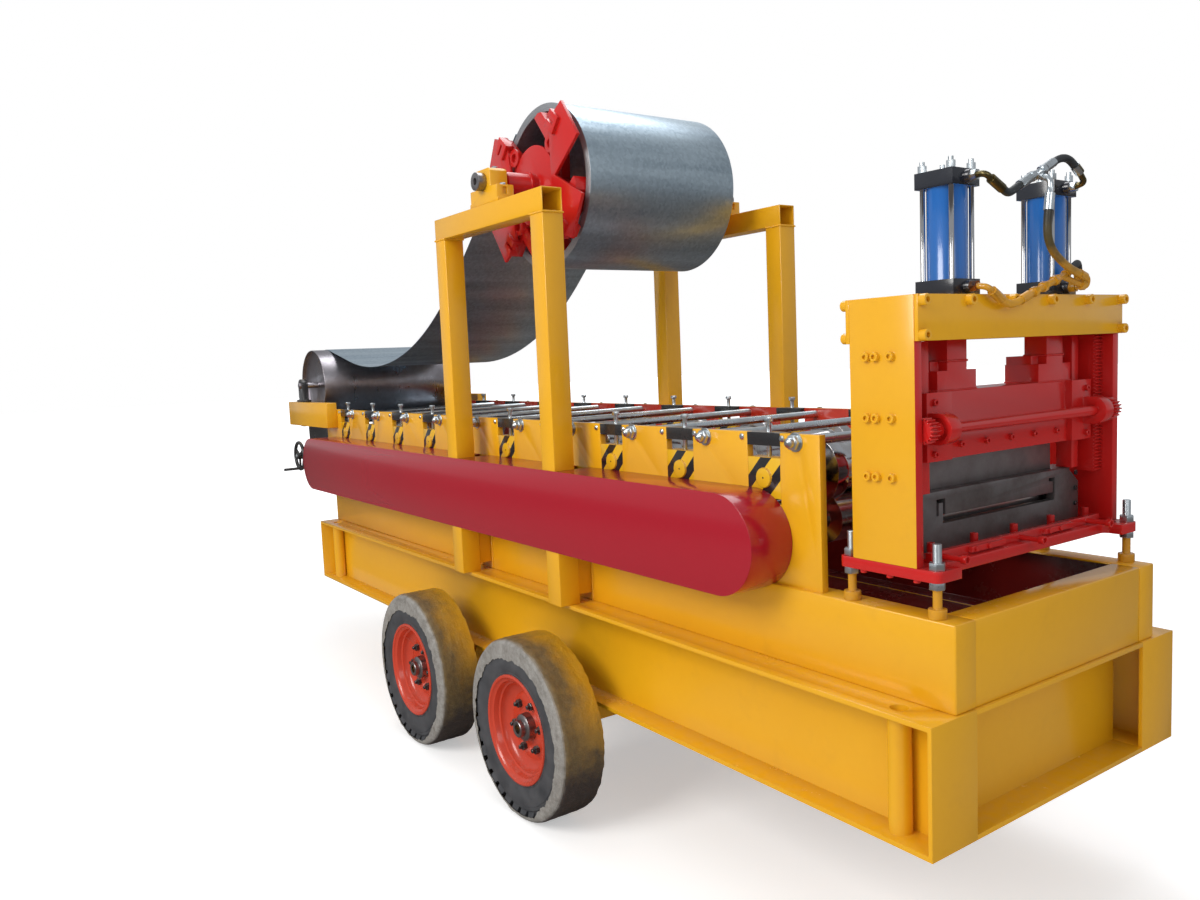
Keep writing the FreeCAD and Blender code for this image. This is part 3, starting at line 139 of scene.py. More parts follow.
def startMaterial(name):
    made = bpy.data.materials.new(name)
    made.use_nodes = True
    tree = made.node_tree
    return made, tree, tree.nodes["Principled BSDF"], addNode(tree, "ShaderNodeTexCoord").outputs["Object"]


# ---- camera and light

cameraValues = {
    "position": (4.0146, -2.5651, 1.7545),
    "turn": 55.274,             # degrees round from +Y
    "lookDown": 5.438,
    "roll": -2.466,
    "lens": 28.795,
}


def makeCamera(v):
    turn, down, roll = (math.radians(v[k]) for k in ("turn", "lookDown", "roll"))
    ahead = Vector((-math.sin(turn) * math.cos(down), math.cos(turn) * math.cos(down), -math.sin(down)))
    right = ahead.cross(Vector((0, 0, 1))).normalized()
    up = right.cross(ahead)
    imageRight = right * math.cos(roll) + up * math.sin(roll)
    imageUp = up * math.cos(roll) - right * math.sin(roll)
    data = bpy.data.cameras.new("photoCamera")
    data.lens = v["lens"]
    data.sensor_width = 36
    data.clip_end = 200
    camera = linkObject("photoCamera", data)
    turned = Matrix((imageRight, imageUp, -ahead)).transposed().to_4x4()
    camera.matrix_world = Matrix.Translation(v["position"]) @ turned
    bpy.context.scene.camera = camera


lightValues = {
    "skyStrength": 0.52,
    "skyInGloss": 0.42,         # paint mirrors a darker sky than the one that lights it
    "skyColour": (0.93, 0.96, 1.0),
    "floorReach": 60,
    "floorColour": (0.86, 0.86, 0.86),
    "floorInGloss": (0.17, 0.15, 0.14),
    # how much white the camera sees added to the floor, by distance from the machine in metres
    "floorGlow": ((3.0, 0.42), (9.0, 1.0)),
    # place, aimed at, size, watts, colour
    "lamps": {
        "keyLamp": ((1.5, -7.5, 5.5), (0.3, 0, 1.3), 4.0, 430, (1.0, 0.98, 0.95)),
        "exitLamp": ((8.0, -2.5, 4.5), (1.8, 0, 1.3), 3.0, 60, (1.0, 0.99, 0.97)),
        "topLamp": ((-1.0, 1.5, 7.5), (0, 0, 1.0), 5.0, 230, (0.97, 0.98, 1.0)),
    },
}


def makeSky(v):
    world = bpy.data.worlds.new("studioSky")
    bpy.context.scene.world = world
    world.use_nodes = True
    tree = world.node_tree
    tree.nodes.clear()
    path = addNode(tree, "ShaderNodeLightPath").outputs
    dimmer = mathNode(tree, "MULTIPLY", path["Is Glossy Ray"], v["skyStrength"] - v["skyInGloss"])
    strength = mathNode(tree, "SUBTRACT", v["skyStrength"], dimmer)
    sky = addNode(tree, "ShaderNodeBackground", {"Color": v["skyColour"], "Strength": strength})
    plain = addNode(tree, "ShaderNodeBackground", {"Color": (1, 1, 1)})
    seen = mathNode(tree, "MAXIMUM", path["Is Camera Ray"], path["Is Transmission Ray"])
    mix = addNode(tree, "ShaderNodeMixShader", {0: seen, 1: sky.outputs[0], 2: plain.outputs[0]})
    addNode(tree, "ShaderNodeOutputWorld", {"Surface": mix.outputs[0]})


def makeFloor(v):
    mesh = bpy.data.meshes.new("studioFloor")
    reach = v["floorReach"]
    corners = [(x * reach, y * reach, 0) for x, y in ((-1, -1), (1, -1), (1, 1), (-1, 1))]
    mesh.from_pydata(corners, [], [(0, 1, 2, 3)])
    paint, tree, shader, place = startMaterial("floorPaint")
    rays = addNode(tree, "ShaderNodeLightPath").outputs
    colour = blendColours(tree, rays["Is Glossy Ray"], v["floorColour"], v["floorInGloss"])
    fill(tree, shader, {"Base Color": colour, "Roughness": 0.9})
    (nearBy, least), (farOff, most) = v["floorGlow"]
    amount = rangeNode(tree, vectorNode(tree, "LENGTH", place)["Value"], nearBy, farOff, least, most)
    strength = mathNode(tree, "MULTIPLY", amount, rays["Is Camera Ray"])
    glow = addNode(tree, "ShaderNodeEmission", {"Strength": strength})
    both = addNode(tree, "ShaderNodeAddShader", {0: shader.outputs[0], 1: glow.outputs[0]})
    fill(tree, tree.nodes["Material Output"], {"Surface": both.outputs[0]})
    mesh.materials.append(paint)
    linkObject("studioFloor", mesh)


def makeLight(v):
    bpy.context.scene.view_settings.view_transform = "Standard"
    makeSky(v)
    for name, (place, aim, size, watts, colour) in v["lamps"].items():
        data = bpy.data.lights.new(name, "AREA")
        data.size = size
        data.energy = watts
        data.color = colour
        lamp = linkObject(name, data)
        lamp.location = place
        lamp.rotation_euler = (Vector(aim) - Vector(place)).to_track_quat("-Z", "Y").to_euler()
    makeFloor(v)


makeCamera(cameraValues)
makeLight(lightValues)
print("camera and light ready")


# ---- shader groups that several finishes share

def makeSprayGroup():
    # sprayed enamel: soft mottle, small stains and thin dust on what faces up
    tree, take, put = newGroup("sprayedEnamel", "Shader", [
        ("Place", "Vector", (0, 0, 0)), ("Colour", "Color", (0.8, 0.4, 0.01, 1)),
        ("Shade", "Color", (0.5, 0.2, 0.01, 1)), ("Mottle", "Float", 0.15), ("Grime", "Float", 0.2),
        ("Dust", "Float", 0.1),
    ], [("Colour", "Color"), ("Roughness", "Float"), ("Peel", "Float")])
    place = take["Place"]
    cloud = rangeNode(tree, noiseNode(tree, place, 2.3, 4.0), 0.3, 0.7)
    fine = rangeNode(tree, noiseNode(tree, place, 34.0, 3.0), 0.35, 0.65)
    amount = mathNode(tree, "MULTIPLY", shares(tree, cloud, fine, 0.75), take["Mottle"])
    colour = blendColours(tree, amount, take["Colour"], take["Shade"])
    stain = rangeNode(tree, noiseNode(tree, place, 6.5, 6.0, 0.7), 0.56, 0.72)
    grime = mathNode(tree, "MULTIPLY", stain, take["Grime"])
    colour = blendColours(tree, grime, colour, (0.10, 0.055, 0.03))
    normal = addNode(tree, "ShaderNodeNewGeometry").outputs["Normal"]
    upward = rangeNode(tree, axesOf(tree, normal)["Z"], 0.5, 1.0)
    dusty = mathNode(tree, "MULTIPLY", mathNode(tree, "MULTIPLY", upward, fine), take["Dust"])
    colour = blendColours(tree, dusty, colour, (0.55, 0.5, 0.44))
    rough = rangeNode(tree, mathNode(tree, "ADD", grime, dusty, True), 0.0, 0.6, 0.24, 0.62)
    fill(tree, put, {"Colour": colour, "Roughness": rough, "Peel": noiseNode(tree, place, 210.0, 2.0)})
    return tree


def makeSteelGroup():
    # machined or plated steel: fine lines along one axis, soft clouds and small stains
    tree, take, put = newGroup("workedSteel", "Shader", [
        ("Place", "Vector", (0, 0, 0)), ("Stretch", "Vector", (1, 1, 1)),
        ("Colour", "Color", (0.5, 0.5, 0.5, 1)), ("Stain", "Color", (0.3, 0.3, 0.3, 1)),
        ("Smooth", "Float", 0.2), ("Coarse", "Float", 0.5),
    ], [("Colour", "Color"), ("Roughness", "Float"), ("Lines", "Float")])
    lines = noiseNode(tree, vectorNode(tree, "MULTIPLY", take["Place"], take["Stretch"])[0], 60.0, 3.0, 0.6)
    cloud = rangeNode(tree, noiseNode(tree, take["Place"], 7.0, 5.0, 0.65), 0.38, 0.68)
    colour = blendColours(tree, cloud, take["Colour"], take["Stain"])
    rough = rangeNode(tree, shares(tree, lines, cloud, 0.5), 0.2, 0.8, take["Smooth"], take["Coarse"])
    fill(tree, put, {"Colour": colour, "Roughness": rough, "Lines": lines})
    return tree


sprayGroup = makeSprayGroup()
steelGroup = makeSteelGroup()


def bumpNode(tree, height, strength, distance, shader):
    bump = addNode(tree, "ShaderNodeBump", {"Strength": strength, "Distance": distance, "Height": height})
    fill(tree, shader, {"Normal": bump.outputs[0]})


def enamel(name, colour, shade, mottle=0.3, grime=0.05, dust=0.05, coat=0.3, peel=0.05):
    made, tree, shader, place = startMaterial(name)
    inputs = {"Place": place, "Colour": colour, "Shade": shade, "Mottle": mottle, "Grime": grime,
              "Dust": dust}
    spray = addNode(tree, "ShaderNodeGroup", node_tree=sprayGroup)
    fill(tree, spray, inputs)
    fill(tree, shader, {"Base Color": spray.outputs["Colour"], "Roughness": spray.outputs["Roughness"],
                        "Coat Weight": coat, "Coat Roughness": 0.12})
    bumpNode(tree, spray.outputs["Peel"], peel, 0.002, shader)
    return made


def steel(name, colour, stain, smooth=0.18, coarse=0.45, stretch=(1, 0.05, 1), metallic=1.0, lines=0.08):
    made, tree, shader, place = startMaterial(name)
    inputs = {"Place": place, "Stretch": stretch, "Colour": colour, "Stain": stain, "Smooth": smooth,
              "Coarse": coarse}
    worked = addNode(tree, "ShaderNodeGroup", node_tree=steelGroup)
    fill(tree, worked, inputs)
    fill(tree, shader, {"Base Color": worked.outputs["Colour"], "Roughness": worked.outputs["Roughness"],
                        "Metallic": metallic})
    bumpNode(tree, worked.outputs["Lines"], lines, 0.0006, shader)
    return made


# colour, its darker shade, mottle, grime, dust, coat, orange peel
enamels = {
    "machineYellow": ((0.80, 0.400, 0.010), (0.70, 0.325, 0.008)),
    "pressRed": ((0.56, 0.012, 0.010), (0.42, 0.008, 0.008)),
    "coverCrimson": ((0.36, 0.004, 0.016), (0.30, 0.004, 0.014), 0.2, 0.0, 0.0, 0.5),
    "tubMaroon": ((0.17, 0.008, 0.006), (0.10, 0.006, 0.005), 0.6, 0.3, 0.05, 0.2),
    "rimOrange": ((0.58, 0.052, 0.020), (0.44, 0.036, 0.016), 0.4, 0.2, 0.1, 0.3),
    "cylinderBlue": ((0.012, 0.13, 0.46), (0.010, 0.09, 0.33), 0.15, 0.0, 0.0, 0.9, 0.01),
    "blackOxide": ((0.018, 0.018, 0.020), (0.032, 0.030, 0.028), 0.5, 0.1, 0.3, 0.25),
    "standRed": ((0.58, 0.035, 0.012), (0.40, 0.018, 0.010), 0.4, 0.3, 0.1, 0.3),
    "capNavy": ((0.010, 0.012, 0.020), (0.018, 0.020, 0.026), 0.4, 0.0, 0.05, 0.6, 0.02),
    "fittingYellow": ((0.66, 0.30, 0.010), (0.40, 0.20, 0.03), 0.6, 0.2, 0.1, 0.3),
}
# colour, its stain, smoothest and roughest, how the lines are stretched, metallic
steels = {
    "toolSteel": ((0.20, 0.185, 0.185), (0.13, 0.11, 0.105), 0.34, 0.55, (1, 1, 1), 0.7),
    "bladeSteel": ((0.34, 0.31, 0.31), (0.23, 0.20, 0.20), 0.30, 0.5, (1, 1, 1), 0.75),
    "rollChrome": ((0.60, 0.60, 0.62), (0.42, 0.40, 0.38), 0.08, 0.3, (0.1, 1, 0.1)),
    "zincPlate": ((0.70, 0.76, 0.80), (0.50, 0.54, 0.55), 0.22, 0.42),
    "drumSteel": ((0.48, 0.46, 0.49), (0.34, 0.31, 0.33), 0.26, 0.42, (0.1, 1, 0.1)),
    "oliveSteel": ((0.20, 0.16, 0.07), (0.10, 0.08, 0.04), 0.25, 0.5, (1, 1, 1)),
    "copperNut": ((0.60, 0.27, 0.13), (0.38, 0.16, 0.07), 0.22, 0.45, (1, 1, 1)),
    "hubSteel": ((0.40, 0.38, 0.38), (0.20, 0.18, 0.18), 0.24, 0.5, (1, 1, 1)),
    "polishedRod": ((0.62, 0.62, 0.63), (0.52, 0.52, 0.52), 0.06, 0.16, (1, 1, 0.1)),
}
finish = {name: enamel(name, *values) for name, values in enamels.items()}
finish.update({name: steel(name, *values) for name, values in steels.items()})


def rubber(name, colour, light, rough=0.62, scale=40.0, bump=0.25):
    made, tree, shader, place = startMaterial(name)
    cloud = rangeNode(tree, noiseNode(tree, place, scale, 5.0, 0.6), 0.3, 0.75)
    fill(tree, shader, {"Base Color": blendColours(tree, cloud, colour, light),
                        "Roughness": rangeNode(tree, cloud, 0.0, 1.0, rough, rough + 0.2)})
    bumpNode(tree, noiseNode(tree, place, scale * 8, 3.0), bump, 0.0015, shader)
    return made


def stripedEnamel(name, v):
    # yellow block face with two broad black stripes round a cap, repeated at the pitch of the stations
    made = enamel(name, v["yellow"], v["shade"])
    tree = made.node_tree
    shader = tree.nodes["Principled BSDF"]
    under = shader.inputs["Base Color"].links[0].from_socket
    m = partial(mathNode, tree)
    axes = axesOf(tree, addNode(tree, "ShaderNodeTexCoord").outputs["Object"])
    stations = m("DIVIDE", m("SUBTRACT", axes["X"], v["middle"].x), v["pitch"])
    along = m("MULTIPLY", m("SUBTRACT", m("FRACT", m("ADD", stations, 50.5)), 0.5), v["pitch"])
    over = m("SUBTRACT", axes["Z"], v["middle"].z)
    lean = math.radians(v["lean"])
    across = m("SUBTRACT", m("MULTIPLY", along, math.sin(lean)), m("MULTIPLY", over, math.cos(lean)))
    offStripe = m("ABSOLUTE", m("SUBTRACT", m("ABSOLUTE", across), v["stripeAt"]))
    stripe = m("LESS_THAN", offStripe, v["stripeWidth"] / 2)
    radius = m("SQRT", m("ADD", m("MULTIPLY", along, along), m("MULTIPLY", over, over)))
    offCap = m("GREATER_THAN", radius, v["capRadius"])
    ring = m("LESS_THAN", m("ABSOLUTE", m("SUBTRACT", radius, v["capRadius"])), v["capLine"])
    dot = m("LESS_THAN", radius, v["dotRadius"])
    dark = m("MAXIMUM", m("MULTIPLY", stripe, offCap), m("MAXIMUM", ring, dot))
    fill(tree, shader, {"Base Color": blendColours(tree, dark, under, v["black"])})
    return made


finish["stripedYellow"] = stripedEnamel("stripedYellow", {
    "yellow": (0.80, 0.46, 0.010),
    "shade": (0.70, 0.38, 0.008),
    "black": (0.014, 0.013, 0.013),
    "middle": (Vector(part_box("upper_roll_10")[0]) + Vector(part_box("upper_roll_10")[1])) / 2,
    "pitch": 0.4,
    "lean": 47,
    "stripeAt": 0.036,
    "stripeWidth": 0.034,
    "capRadius": 0.031,
    "capLine": 0.0012,
    "dotRadius": 0.0032,
})


def sprayedOver(name, colours, levels, slack=0.05):
    # one colour giving way to the next with height, as where spray drifted over a piece
    made, tree, shader, place = startMaterial(name)
    drift = rangeNode(tree, noiseNode(tree, place, 22.0, 4.0), 0.3, 0.7, -slack / 2, slack / 2)
    height = mathNode(tree, "ADD", axesOf(tree, place)["Z"], drift)
    colour = colours[0]
    for level, above in zip(levels, colours[1:]):
        colour = blendColours(tree, rangeNode(tree, height, level - slack, level + slack), colour, above)
    cloud = rangeNode(tree, noiseNode(tree, place, 55.0, 3.0), 0.3, 0.7, 0.32, 0.55)
    fill(tree, shader, {"Base Color": colour, "Roughness": cloud})
    bumpNode(tree, noiseNode(tree, place, 300.0, 3.0), 0.12, 0.001, shader)
    return made


overspray = (0.66, 0.31, 0.010)
hoseDark = (0.014, 0.018, 0.022)
oliveDrift = (0.085, 0.062, 0.018)
finish["dropHose"] = sprayedOver("dropHose", (overspray, oliveDrift, hoseDark), (1.965, 2.07), 0.04)
finish["lowHose"] = sprayedOver("lowHose", (overspray, (0.30, 0.16, 0.02)), (1.90,), 0.03)


def coilEdgeFinish(name, centre, dark, light):
    # the laps of the coil seen end on: fine rings round its axis
    made, tree, shader, place = startMaterial(name)
    flat = vectorNode(tree, "MULTIPLY", vectorNode(tree, "SUBTRACT", place, centre)[0], (1, 0, 1))[0]
    spread = addNode(tree, "ShaderNodeCombineXYZ", {"X": vectorNode(tree, "LENGTH", flat)["Value"]})
    laps = rangeNode(tree, noiseNode(tree, spread.outputs[0], 900.0, 4.0, 0.7), 0.35, 0.65)
    fill(tree, shader, {"Base Color": blendColours(tree, laps, dark, light), "Metallic": 0.8,
                        "Roughness": rangeNode(tree, laps, 0.0, 1.0, 0.35, 0.6)})
    bumpNode(tree, laps, 0.3, 0.0015, shader)
    return made


coilLow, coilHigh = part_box("coil")
coilCentre = (Vector(coilLow) + Vector(coilHigh)) / 2
finish["coilEdge"] = coilEdgeFinish("coilEdge", coilCentre, (0.13, 0.14, 0.16), (0.62, 0.64, 0.66))


def spangledZinc(name, v):
    # hot-dip sheet: flakes of slightly different greys, long soft bands and light roll marks
    made, tree, shader, place = startMaterial(name)
    flakes = addNode(tree, "ShaderNodeTexVoronoi", {"Scale": v["flakes"], "Vector": place})
    grey = addNode(tree, "ShaderNodeSeparateColor", {0: flakes.outputs["Color"]}).outputs["Red"]
    stretched = vectorNode(tree, "MULTIPLY", place, v["bands"])[0]
    bands = rangeNode(tree, noiseNode(tree, stretched, 1.0, 3.0), 0.35, 0.65)
    fac = shares(tree, grey, bands, v["flakeShare"])
    smooth, coarse = v["rough"]
    fill(tree, shader, {"Base Color": blendColours(tree, fac, v["dark"], v["light"]),
                        "Roughness": rangeNode(tree, fac, 0.0, 1.0, coarse, smooth),
                        "Metallic": v["metallic"]})
    bumpNode(tree, noiseNode(tree, place, 45.0, 4.0), 0.05, 0.0008, shader)
    return made


finish["galvanised"] = spangledZinc("galvanised", {
    "flakes": 85.0,
    "flakeShare": 0.35,
    "bands": (9.0, 0.7, 9.0),
    "dark": (0.27, 0.345, 0.41),
    "light": (0.54, 0.65, 0.72),
    "rough": (0.30, 0.46),
    "metallic": 0.9,
})


def maskingFinish(name, v):
    # grey paper on the side wall, tan on the tread, yellow where spray drifted and dark low down
    made, tree, shader, place = startMaterial(name)
    axes = axesOf(tree, place)
    normal = addNode(tree, "ShaderNodeNewGeometry").outputs["True Normal"]
    sideways = rangeNode(tree, mathNode(tree, "ABSOLUTE", axesOf(tree, normal)["Y"]), 0.35, 0.7)
    drift = rangeNode(tree, noiseNode(tree, place, 7.0, 5.0, 0.65), 0.3, 0.7, -0.09, 0.09)
    height = mathNode(tree, "ADD", axes["Z"], drift)
    half = mathNode(tree, "MULTIPLY", drift, 0.5)
    offMiddle = mathNode(tree, "ADD", mathNode(tree, "ABSOLUTE", axes["Y"]), half)
    inboard = rangeNode(tree, offMiddle, *v["sprayed"], 1.0, 0.0)
    streaks = rangeNode(tree, noiseNode(tree, place, 30.0, 6.0, 0.7), 0.35, 0.7)
    tan = blendColours(tree, streaks, v["tan"], v["tanDark"])
    tread = blendColours(tree, rangeNode(tree, height, 0.20, 0.36), v["low"], tan)
    sprayed = mathNode(tree, "MULTIPLY", inboard, rangeNode(tree, height, 0.28, 0.5))
    tread = blendColours(tree, sprayed, tread, v["spray"])
    paper = blendColours(tree, streaks, v["paper"], v["paperDark"])
    fill(tree, shader, {"Base Color": blendColours(tree, sideways, tread, paper),
                        "Roughness": rangeNode(tree, streaks, 0.0, 1.0, 0.34, 0.62)})
    bumpNode(tree, noiseNode(tree, place, 42.0, 6.0, 0.7), 0.9, 0.006, shader)
    return made


finish["maskingFilm"] = maskingFinish("maskingFilm", {
    "paper": (0.33, 0.315, 0.29),
    "paperDark": (0.17, 0.155, 0.135),
    "tan": (0.20, 0.135, 0.050),
    "tanDark": (0.115, 0.080, 0.035),
    "low": (0.055, 0.042, 0.036),
    "spray": (0.52, 0.27, 0.008),
    "sprayed": (0.69, 0.80),    # how far out from the machine's middle the spray reached
})
finish["tyreRubber"] = rubber("tyreRubber", (0.035, 0.037, 0.042), (0.075, 0.075, 0.08), 0.6, 14.0)
finish["hoseBlack"] = rubber("hoseBlack", (0.012, 0.016, 0.020), (0.035, 0.038, 0.040), 0.42, 60.0, 0.1)
print("finishes ready")


# ---- cords: the five hoses of the two cylinders

hoseValues = {
    "radius": 0.011,
    "covers": {"hose_drop": "dropHose", "hose_low_near": "lowHose"},
    "routes": {
        "hose_top_near": [
            (85, -199, 1120.6), (85, -174, 1109.5), (87, -147, 1100.5), (89, -118, 1112),
            (90, -92, 1125), (90, -68, 1135.7),
        ],
        "hose_top_far": [
            (90, 57, 1190.2), (90, 81, 1201.5), (90, 107, 1212), (90, 134, 1217), (90, 161, 1214),
            (90, 186, 1201), (90, 207, 1188),
        ],
        "hose_drop": [
            (40, -29, 1077.6), (40, -34.5, 1046), (40, -38, 1013), (40, -35, 981), (42, -16, 956),
            (46, 11, 939), (50, 45, 925), (54, 84, 909), (57, 122, 898.5), (59, 159, 890),
            (60, 181, 884),
        ],
        "hose_low_near": [
            (85, -202, 829.2), (85, -178, 816.5), (85, -150.5, 806.5), (85, -121, 807.5), (85, -93, 816),
            (85, -71, 823.9),
        ],
        "hose_low_far": [
            (86, 142, 893.5), (88, 170, 907), (91, 199, 919.5), (100, 224, 925), (108, 244, 913),
            (110, 249, 889),
        ],
    },
}


def splineLength(curve):
    mesh = bpy.data.meshes.new_from_object(curve)
    points = [v.co for v in mesh.vertices]
    total = sum((b - a).length for a, b in zip(points, points[1:]))
    bpy.data.meshes.remove(mesh)
    return total


def makeHoses(v):
    for name, route in v["routes"].items():
        points = [at(*place) for place in route]
        data = bpy.data.curves.new(name + "Line", "CURVE")
        data.dimensions = "3D"
        data.resolution_u = 12
        spline = data.splines.new("NURBS")
        spline.points.add(len(points) - 1)
        for made, point in zip(spline.points, points):
            made.co = (*point, 1)
        spline.order_u = 3
        spline.use_endpoint_u = True
        piece = linkObject(name + "Rubber", data)
        length = splineLength(piece)
        data.bevel_depth = v["radius"]
        data.bevel_resolution = 6
        data.use_fill_caps = True
        data.materials.append(finish[v["covers"].get(name, "hoseBlack")])
        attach(piece, "root")
        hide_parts(name)
        print(name, "length", round(length, 3))


makeHoses(hoseValues)


# ---- the CAD solids with their edges broken

def shadeByAngle(mesh, degrees):
    mesh.shade_smooth()
    mesh.set_sharp_from_angle(angle=math.radians(degrees))


def applyModifiers(piece):
    # bakes what the modifiers do into a plain mesh
    graph = bpy.context.evaluated_depsgraph_get()
    result = bpy.data.meshes.new_from_object(piece.evaluated_get(graph))
    piece.modifiers.clear()
    old = piece.data
    piece.data = result
    bpy.data.meshes.remove(old)


def breakEdges(piece, width):
    bevel = piece.modifiers.new("brokenEdge", "BEVEL")
    bevel.width = width
    bevel.segments = 2
    bevel.limit_method = "ANGLE"
    bevel.angle_limit = math.radians(38)
    applyModifiers(piece)
    shadeByAngle(piece.data, 40)


def mergedCopy(node):
    work = bmesh.new()
    work.from_mesh(nodes[node].data)
    bmesh.ops.remove_doubles(work, verts=work.verts, dist=1e-5)
    bmesh.ops.dissolve_limit(work, angle_limit=math.radians(0.6), verts=work.verts, edges=work.edges)
    mesh = bpy.data.meshes.new(node + "Dressed")
    work.to_mesh(mesh)
    work.free()
    mesh.materials.clear()
    return mesh


def paintFaces(mesh, second):
    # the faces whose centre and normal pass a test get the finish named with it
    for name, test in second:
        mesh.materials.append(finish[name])
    for face in mesh.polygons:
        for number, (name, test) in enumerate(second):
            if test(face.center, face.normal):
                face.material_index = number + 1
                break


# the far retaining plates don't reach past the coil, so their ends are drawn in towards the axis
farPlateValues = {
    "keptTo": 0.19,             # radius from the coil's axis up to which nothing moves
    "endsAt": 0.255,
    "past": 0.002,              # how far past the coil a point lies before it counts
}


def drawInFarPlates(mesh, v):
    axis = Vector((coilCentre.x, 0, coilCentre.z))
    beyond = [p for p in mesh.vertices if p.co.y > coilHigh[1] + v["past"]]
    flat = {p.index: Vector((p.co.x, 0, p.co.z)) - axis for p in beyond}
    reach = max(away.length for away in flat.values())
    share = (v["endsAt"] - v["keptTo"]) / (reach - v["keptTo"])
    for p in beyond:
        away = flat[p.index]
        if away.length > v["keptTo"]:
            pulled = axis + away.normalized() * (v["keptTo"] + (away.length - v["keptTo"]) * share)
            p.co = (pulled.x, p.co.y, pulled.z)


def dress(node, width, material, second):
    piece = linkObject(node + "_dressed", mergedCopy(node))
    if node == "mandrel":
        drawInFarPlates(piece.data, farPlateValues)
    piece.data.materials.append(finish[material])
    breakEdges(piece, width)
    paintFaces(piece.data, second)
    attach(piece, bodyOfNode[node])
    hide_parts(node)


# node: width of the broken edge, finish, record slot
edgeValues = {
    "base_frame": (0.003, "machineYellow", "machine_yellow"),
    "tub_frame": (0.004, "machineYellow", "machine_yellow"),
    "decoiler_frame": (0.005, "machineYellow", "machine_yellow"),
    "side_plates": (0.002, "machineYellow", "machine_yellow"),
    "bearing_blocks": (0.002, "machineYellow", "machine_yellow"),
    "drum_cradles": (0.003, "machineYellow", "machine_yellow"),
    "mandrel_bearings": (0.004, "machineYellow", "machine_yellow"),
    "press_side_plates": (0.002, "pressRed", "machine_yellow"),
    "press_head": (0.002, "machineYellow", "machine_yellow"),
    "chain_cover": (0.004, "coverCrimson", "cover_red"),
    "mandrel": (0.003, "pressRed", "press_red"),
    "ram": (0.002, "pressRed", "press_red"),
    "press_base_plate": (0.002, "pressRed", "press_red"),
    "press_guides": (0.0005, "pressRed", "press_red"),
    "die_clamps": (0.001, "pressRed", "press_red"),
    "slot_bridges": (0.001, "blackOxide", "black"),
    "infeed_table": (0.002, "blackOxide", "black"),
    "drum_bearings": (0.003, "blackOxide", "black"),
    "lower_die": (0.0008, "toolSteel", "tool_steel"),
    "blade": (0.0008, "bladeSteel", "tool_steel"),
    "tie_rods": (0.0015, "zincPlate", "zinc"),
    "press_feet": (0.0015, "zincPlate", "zinc"),
    "cylinders": (0.0012, "capNavy", "cylinder_blue"),
    "hose_fittings": (0.0006, "zincPlate", "zinc"),
    "handwheel": (0.0015, "blackOxide", "black"),
    "guide_drum": (0.003, "drumSteel", "drum_steel"),
    "coil": (0.001, "galvanised", "galvanised"),
    "equaliser_shaft": (0.0006, "pressRed", "press_red"),
}
for node in nodes:
    if "_roll_" in node:
        edgeValues[node] = (0.0012, "rollChrome", "roll_steel")

tubValues = {
    "wall": 0.008,              # of the folded channel
    "flange": 0.085,
    "platePast": 0.0008,        # how far the end plates stand past the channel's end
    "plateDepth": 0.007,
    "plateInside": 0.0025,      # of the channel's outer faces
    "plateEdge": 0.0012,
}
# the two cylinders on the press head, with the barrel, caps and tie rods of each
cylinderValues = {
    "inset": 0.208,             # of the axes from the exit end
    "y": 0.244,
    "height": 0.336,
    "cap": 0.044,
    "barrelReach": 0.0548,
    "tieOffset": 0.045,
    "tieReach": 0.009,
    "fittingPast": 0.0755,
}
bridgeDepth = 0.040
hair = 0.001                    # keeps a test clear of the face it is about
headLow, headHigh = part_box("press_head")
plateOut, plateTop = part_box("side_plates")[1][1:]
rodX, rodY = exitX - cylinderValues["inset"], cylinderValues["y"]
barrelLow = headHigh[2] + cylinderValues["cap"]
barrelHigh = headHigh[2] + cylinderValues["height"] - cylinderValues["cap"]
capTop = barrelHigh + cylinderValues["cap"]


def onBarrel(c, n):
    away = math.hypot(c.x - rodX, abs(c.y) - rodY)
    return barrelLow < c.z < barrelHigh and away < cylinderValues["barrelReach"]


def insideTub(c, n):
    wall = tubValues["wall"] - hair
    return (tubLow[0] + wall < c.x < tubHigh[0] - wall and abs(c.y) < tubHigh[1] - wall
            and tubLow[2] + wall < c.z < tubHigh[2] - wall)


def onCylinderTie(c, n):
    offset = cylinderValues["tieOffset"]
    beside = max(abs(abs(c.x - rodX) - offset), abs(abs(abs(c.y) - rodY) - offset))
    return barrelLow < c.z < barrelHigh and beside < cylinderValues["tieReach"]


# which faces of a piece get another finish
secondFinish = {
    "cylinders": [
        ("cylinderBlue", onBarrel),
        ("polishedRod", onCylinderTie),
        ("zincPlate", lambda c, n: c.z > capTop + hair),
        ("hubSteel", lambda c, n: c.x > rodX + cylinderValues["fittingPast"]),
    ],
    "tub_frame": [("tubMaroon", insideTub)],
    "side_plates": [("standRed", lambda c, n: n.y * c.y < -0.4)],
    "bearing_blocks": [("stripedYellow", lambda c, n: abs(n.y) > 0.9)],
    "slot_bridges": [
        ("zincPlate", lambda c, n: c.z > plateTop + hair or c.z < plateTop - bridgeDepth - hair),
    ],
    "press_side_plates": [("machineYellow", lambda c, n: n.y * c.y > 0.3 or n.x < -0.9 or n.z > 0.9)],
    "press_feet": [("fittingYellow", lambda c, n: c.z < tubTop + 0.076)],
    "mandrel": [("hubSteel", lambda c, n: abs(c.y) > 0.6585)],
    "coil": [("coilEdge", lambda c, n: abs(n.y) > 0.9)],
    "hose_fittings": [
        ("copperNut", lambda c, n: c.z < 2.0 and c.y < -0.21 and c.x < exitX - 0.112),
        ("fittingYellow", lambda c, n: c.z < 2.0),
        ("oliveSteel", lambda c, n: c.z > 2.1 and c.x > exitX - 0.113 and abs(c.y) > 0.20),
    ],
}

